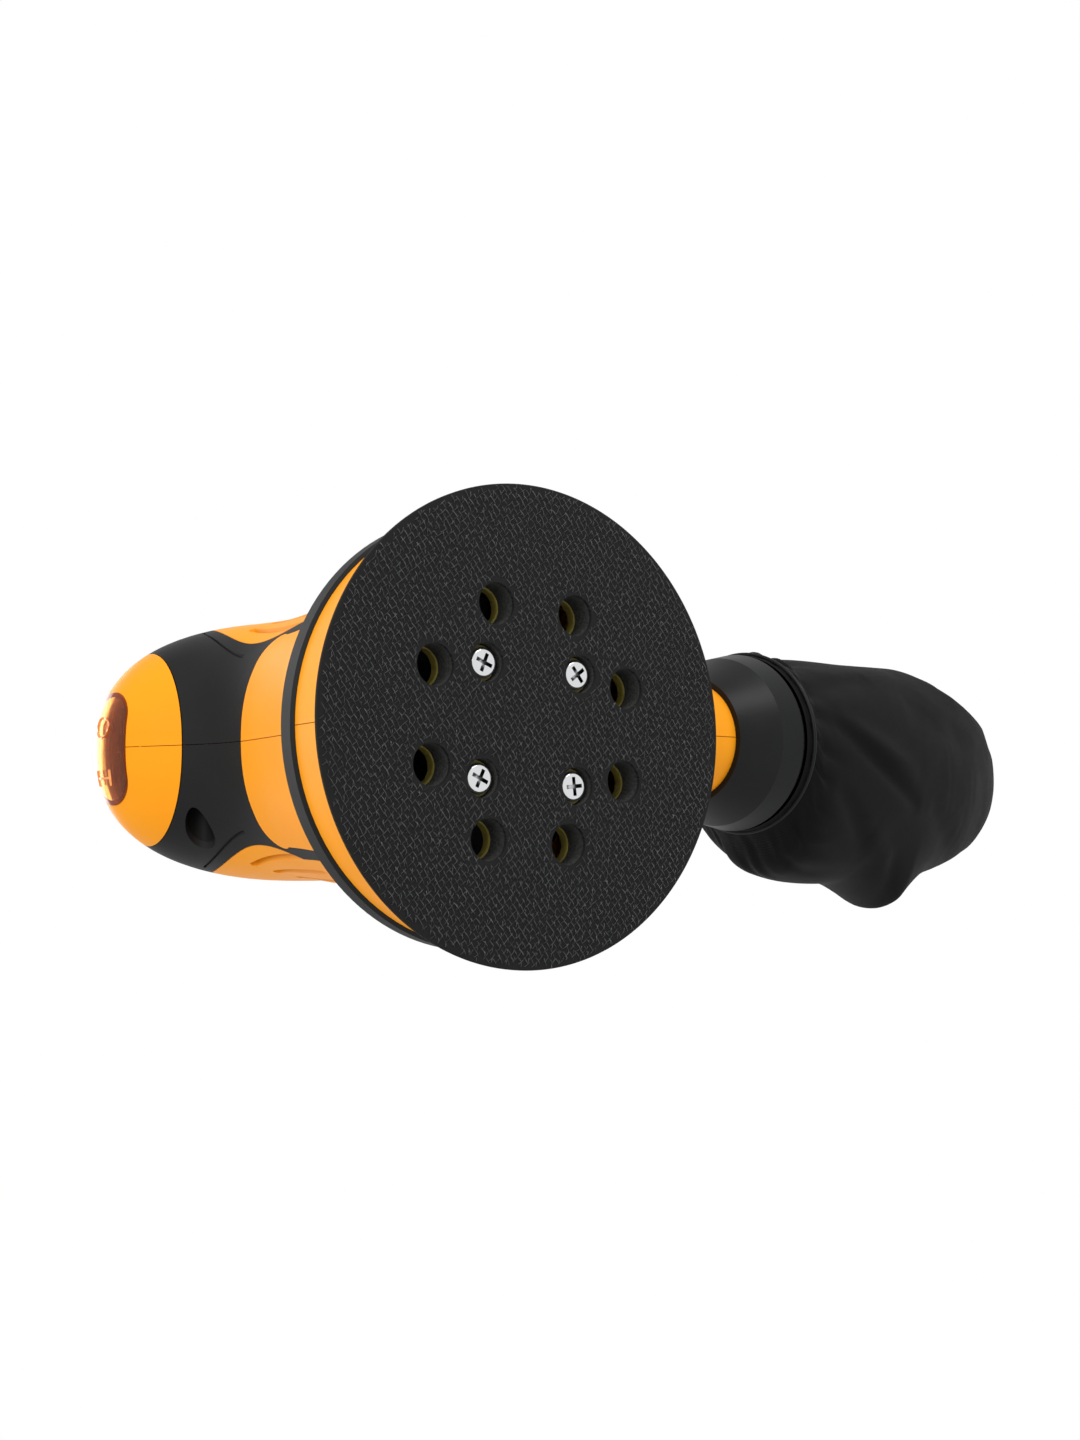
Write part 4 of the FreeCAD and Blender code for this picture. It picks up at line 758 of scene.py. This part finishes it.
def make_hook_pile(holes, middle, radius):
    """Rows of nylon strands over the whole face, clear of every hole and of the rim."""
    pile = bmesh.new()
    for angle, pitch, step, length in HOOK_ROWS:
        along = Vector((math.cos(angle), math.sin(angle)))
        across = Vector((-along.y, along.x))
        rows = int(2 * radius / pitch) + 2
        steps = int(2 * radius / step) + 2
        for row in range(rows):
            for k in range(steps):
                spot = across * ((row - rows / 2) * pitch + random.uniform(-0.16, 0.16))
                spot += along * ((k - steps / 2 + 0.5 * (row % 2)) * step + random.uniform(-0.35, 0.35))
                turn = angle + random.uniform(-0.16, 0.16)
                size = length * random.uniform(0.7, 1.12)
                tall = random.uniform(0.30, 0.46)
                wire = HOOK_WIRE * random.uniform(0.6, 1.15)
                reach = size / 2 + 0.15
                place = middle + spot
                if spot.length > radius - reach:
                    continue
                if any(math.hypot(place.x - x, place.y - y) < r + reach * 0.7 for x, y, r in holes):
                    continue
                base = Vector((place.x, place.y, GROUND_LEVEL + 0.03))
                add_wire(pile, [base + Vector(p) for p in strand_points(size, tall, turn)], wire)
    mesh = bpy.data.meshes.new("hook_pile")
    pile.to_mesh(mesh)
    pile.free()
    hooks = bpy.data.objects.new("hook_pile", mesh)
    bpy.context.scene.collection.objects.link(hooks)
    mesh.materials.append(HOOKS)
    smooth_shade(hooks, 80)
    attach(hooks, "pad")


def add_wire(pile, line, thick):
    """A three-sided tube along a short line of points in millimetres."""
    rings = []
    for k, point in enumerate(line):
        ahead = line[min(k + 1, len(line) - 1)] - line[max(k - 1, 0)]
        ahead.normalize()
        side = ahead.cross(Vector((0.31, 0.95, 0.05))).normalized()
        other = ahead.cross(side)
        size = thick * (1.0 if k < len(line) - 1 else 0.55)
        ring = []
        for corner in range(3):
            angle = 2 * math.pi * corner / 3
            offset = (side * math.cos(angle) + other * math.sin(angle)) * size
            ring.append(pile.verts.new((point + offset) * MM))
        rings.append(ring)
    for low, high in zip(rings, rings[1:]):
        for k in range(3):
            pile.faces.new((low[k], low[(k + 1) % 3], high[(k + 1) % 3], high[k]))
    pile.faces.new(rings[0][::-1])
    pile.faces.new(rings[-1])


def make_pad():
    middle = pad_middle()
    holes = pad_holes(middle)
    radius = make_pad_layers(holes, middle)
    make_hook_pile(holes, middle, radius)


# ---------------------------------------------------------------- switch cover

# Marks moulded on the switch cover: a ring for off and a barred stroke for on, in millimetres.
MARK_WIRE = 0.42
RING_PLACE = 6.1
RING_RADIUS = 2.9
STROKE_FROM = -6.3
STROKE_TO = -11.0
STROKE_HALF = 3.2
MARK_LIFT = 0.1
MARK_STEPS = 40
RAY_START = 30.0


def on_cover(tree, outward, up, centre, sideways, lift):
    """The point of the cover's outer skin that lies straight out from the switch's own plane."""
    start = centre + (outward * RAY_START + up * lift + Vector((0, sideways, 0))) * MM
    spot = tree.ray_cast(start, -outward)[0]
    return spot / MM + outward * MARK_LIFT


def mark_lines():
    """The marks as lines of sideways place and lift: a ring, then a stroke between two bars."""
    turns = [2 * math.pi * k / MARK_STEPS for k in range(MARK_STEPS + 1)]
    shares = [k / MARK_STEPS for k in range(MARK_STEPS + 1)]
    middle = (STROKE_FROM + STROKE_TO) / 2
    lines = [[(RING_PLACE + RING_RADIUS * math.cos(a), RING_RADIUS * math.sin(a)) for a in turns]]
    lines.append([(middle, STROKE_HALF * (2 * share - 1)) for share in shares])
    for lift in (-STROKE_HALF, STROKE_HALF):
        lines.append([(STROKE_FROM + (STROKE_TO - STROKE_FROM) * share, lift) for share in shares])
    return lines


def make_cover_marks():
    up = joint_axis("switch_rock")
    outward = Vector((0, 1, 0)).cross(up)
    low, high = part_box("switch_cover")
    centre = (Vector(low) + Vector(high)) / 2
    tree = BVHTree.FromObject(nodes["switch_cover"], bpy.context.evaluated_depsgraph_get())
    marks = bmesh.new()
    for line in mark_lines():
        add_wire(marks, [on_cover(tree, outward, up, centre, *spot) for spot in line], MARK_WIRE)
    mesh = bpy.data.meshes.new("cover_marks")
    marks.to_mesh(mesh)
    marks.free()
    mesh.materials.append(MARK)
    piece = bpy.data.objects.new("cover_marks", mesh)
    bpy.context.scene.collection.objects.link(piece)
    smooth_shade(piece, 80)
    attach(piece, "housing")


# ---------------------------------------------------------------- stage

# The camera's place is measured from the middle of the pad's face.
CAMERA_PLACE = Vector((253.67, -32.73, -356.53)) * MM
CAMERA_RIGHT = Vector((-0.81353, -0.01850, -0.58123))
CAMERA_UP = Vector((0.02994, 0.99684, -0.07364))
CAMERA_LENS = 42.785
FLOOR_SIZE = 6.0
FLOOR_DROP = 0.2


def make_camera():
    data = bpy.data.cameras.new("camera")
    data.lens = CAMERA_LENS
    data.sensor_width = 36.0
    data.clip_start = 0.01
    camera = bpy.data.objects.new("camera", data)
    back = CAMERA_RIGHT.cross(CAMERA_UP).normalized()
    up = back.cross(CAMERA_RIGHT).normalized()
    axes = Matrix((CAMERA_RIGHT.normalized(), up, back)).transposed()
    low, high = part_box("hook_face")
    centre = Vector(((low.x + high.x) / 2, (low.y + high.y) / 2, low.z))
    camera.matrix_world = Matrix.Translation(centre + CAMERA_PLACE) @ axes.to_4x4()
    bpy.context.scene.collection.objects.link(camera)
    bpy.context.scene.camera = camera


def make_floor():
    """A pale floor under the tool, seen from above only: the main camera looks up from below it."""
    material = new_material("floor", (0.86, 0.86, 0.86), 0.7)
    output = material.node_tree.nodes["Material Output"]
    shader = shader_of(material)
    side = add(material, "NewGeometry")
    clear = add(material, "BsdfTransparent")
    mix = add(material, "MixShader")
    join(material, side, "Backfacing", mix, 0)
    join(material, shader, "BSDF", mix, 1)
    join(material, clear, "BSDF", mix, 2)
    join(material, mix, "Shader", output, "Surface")
    mesh = bpy.data.meshes.new("floor")
    half = FLOOR_SIZE / 2
    corners = [(-half, -half, 0), (half, -half, 0), (half, half, 0), (-half, half, 0)]
    mesh.from_pydata(corners, [], [(0, 1, 2, 3)])
    floor = bpy.data.objects.new("floor", mesh)
    mesh.materials.append(material)
    floor.location.z = -FLOOR_DROP * MM
    bpy.context.scene.collection.objects.link(floor)
    floor.visible_shadow = False
    floor.visible_diffuse = False
    floor.visible_glossy = False
    floor.visible_transmission = False


def area_light(name, place, target, size, power, color=(1, 1, 1)):
    data = bpy.data.lights.new(name, "AREA")
    data.shape = "DISK"
    data.size = size
    data.energy = power
    data.color = color
    light = bpy.data.objects.new(name, data)
    light.location = place
    light.rotation_euler = (Vector(target) - Vector(place)).to_track_quat("-Z", "Y").to_euler()
    bpy.context.scene.collection.objects.link(light)


def make_lights():
    world = bpy.data.worlds.new("studio")
    world.use_nodes = True
    tree = world.node_tree
    paper = tree.nodes["Background"]
    paper.inputs["Color"].default_value = (1, 1, 1, 1)
    paper.inputs["Strength"].default_value = 1.0
    fill = tree.nodes.new("ShaderNodeBackground")
    fill.inputs["Color"].default_value = (1, 1, 1, 1)
    fill.inputs["Strength"].default_value = 0.8
    path = tree.nodes.new("ShaderNodeLightPath")
    mix = tree.nodes.new("ShaderNodeMixShader")
    tree.links.new(path.outputs["Is Camera Ray"], mix.inputs[0])
    tree.links.new(fill.outputs[0], mix.inputs[1])
    tree.links.new(paper.outputs[0], mix.inputs[2])
    tree.links.new(mix.outputs[0], tree.nodes["World Output"].inputs["Surface"])
    bpy.context.scene.world = world
    bpy.context.scene.view_settings.view_transform = "Standard"
    area_light("front_low", (0.6, 0.25, -0.35), (0, 0, 0.05), 0.5, 2.2)
    area_light("under_side", (-0.1, 0.6, -0.4), (0, 0, 0.03), 0.35, 2.2)
    area_light("top", (0.2, 0.1, 0.95), (0, 0, 0.08), 0.8, 4.0)


paint_frame()
make_pad()
make_bag()
make_cover_marks()
make_camera()
make_floor()
make_lights()
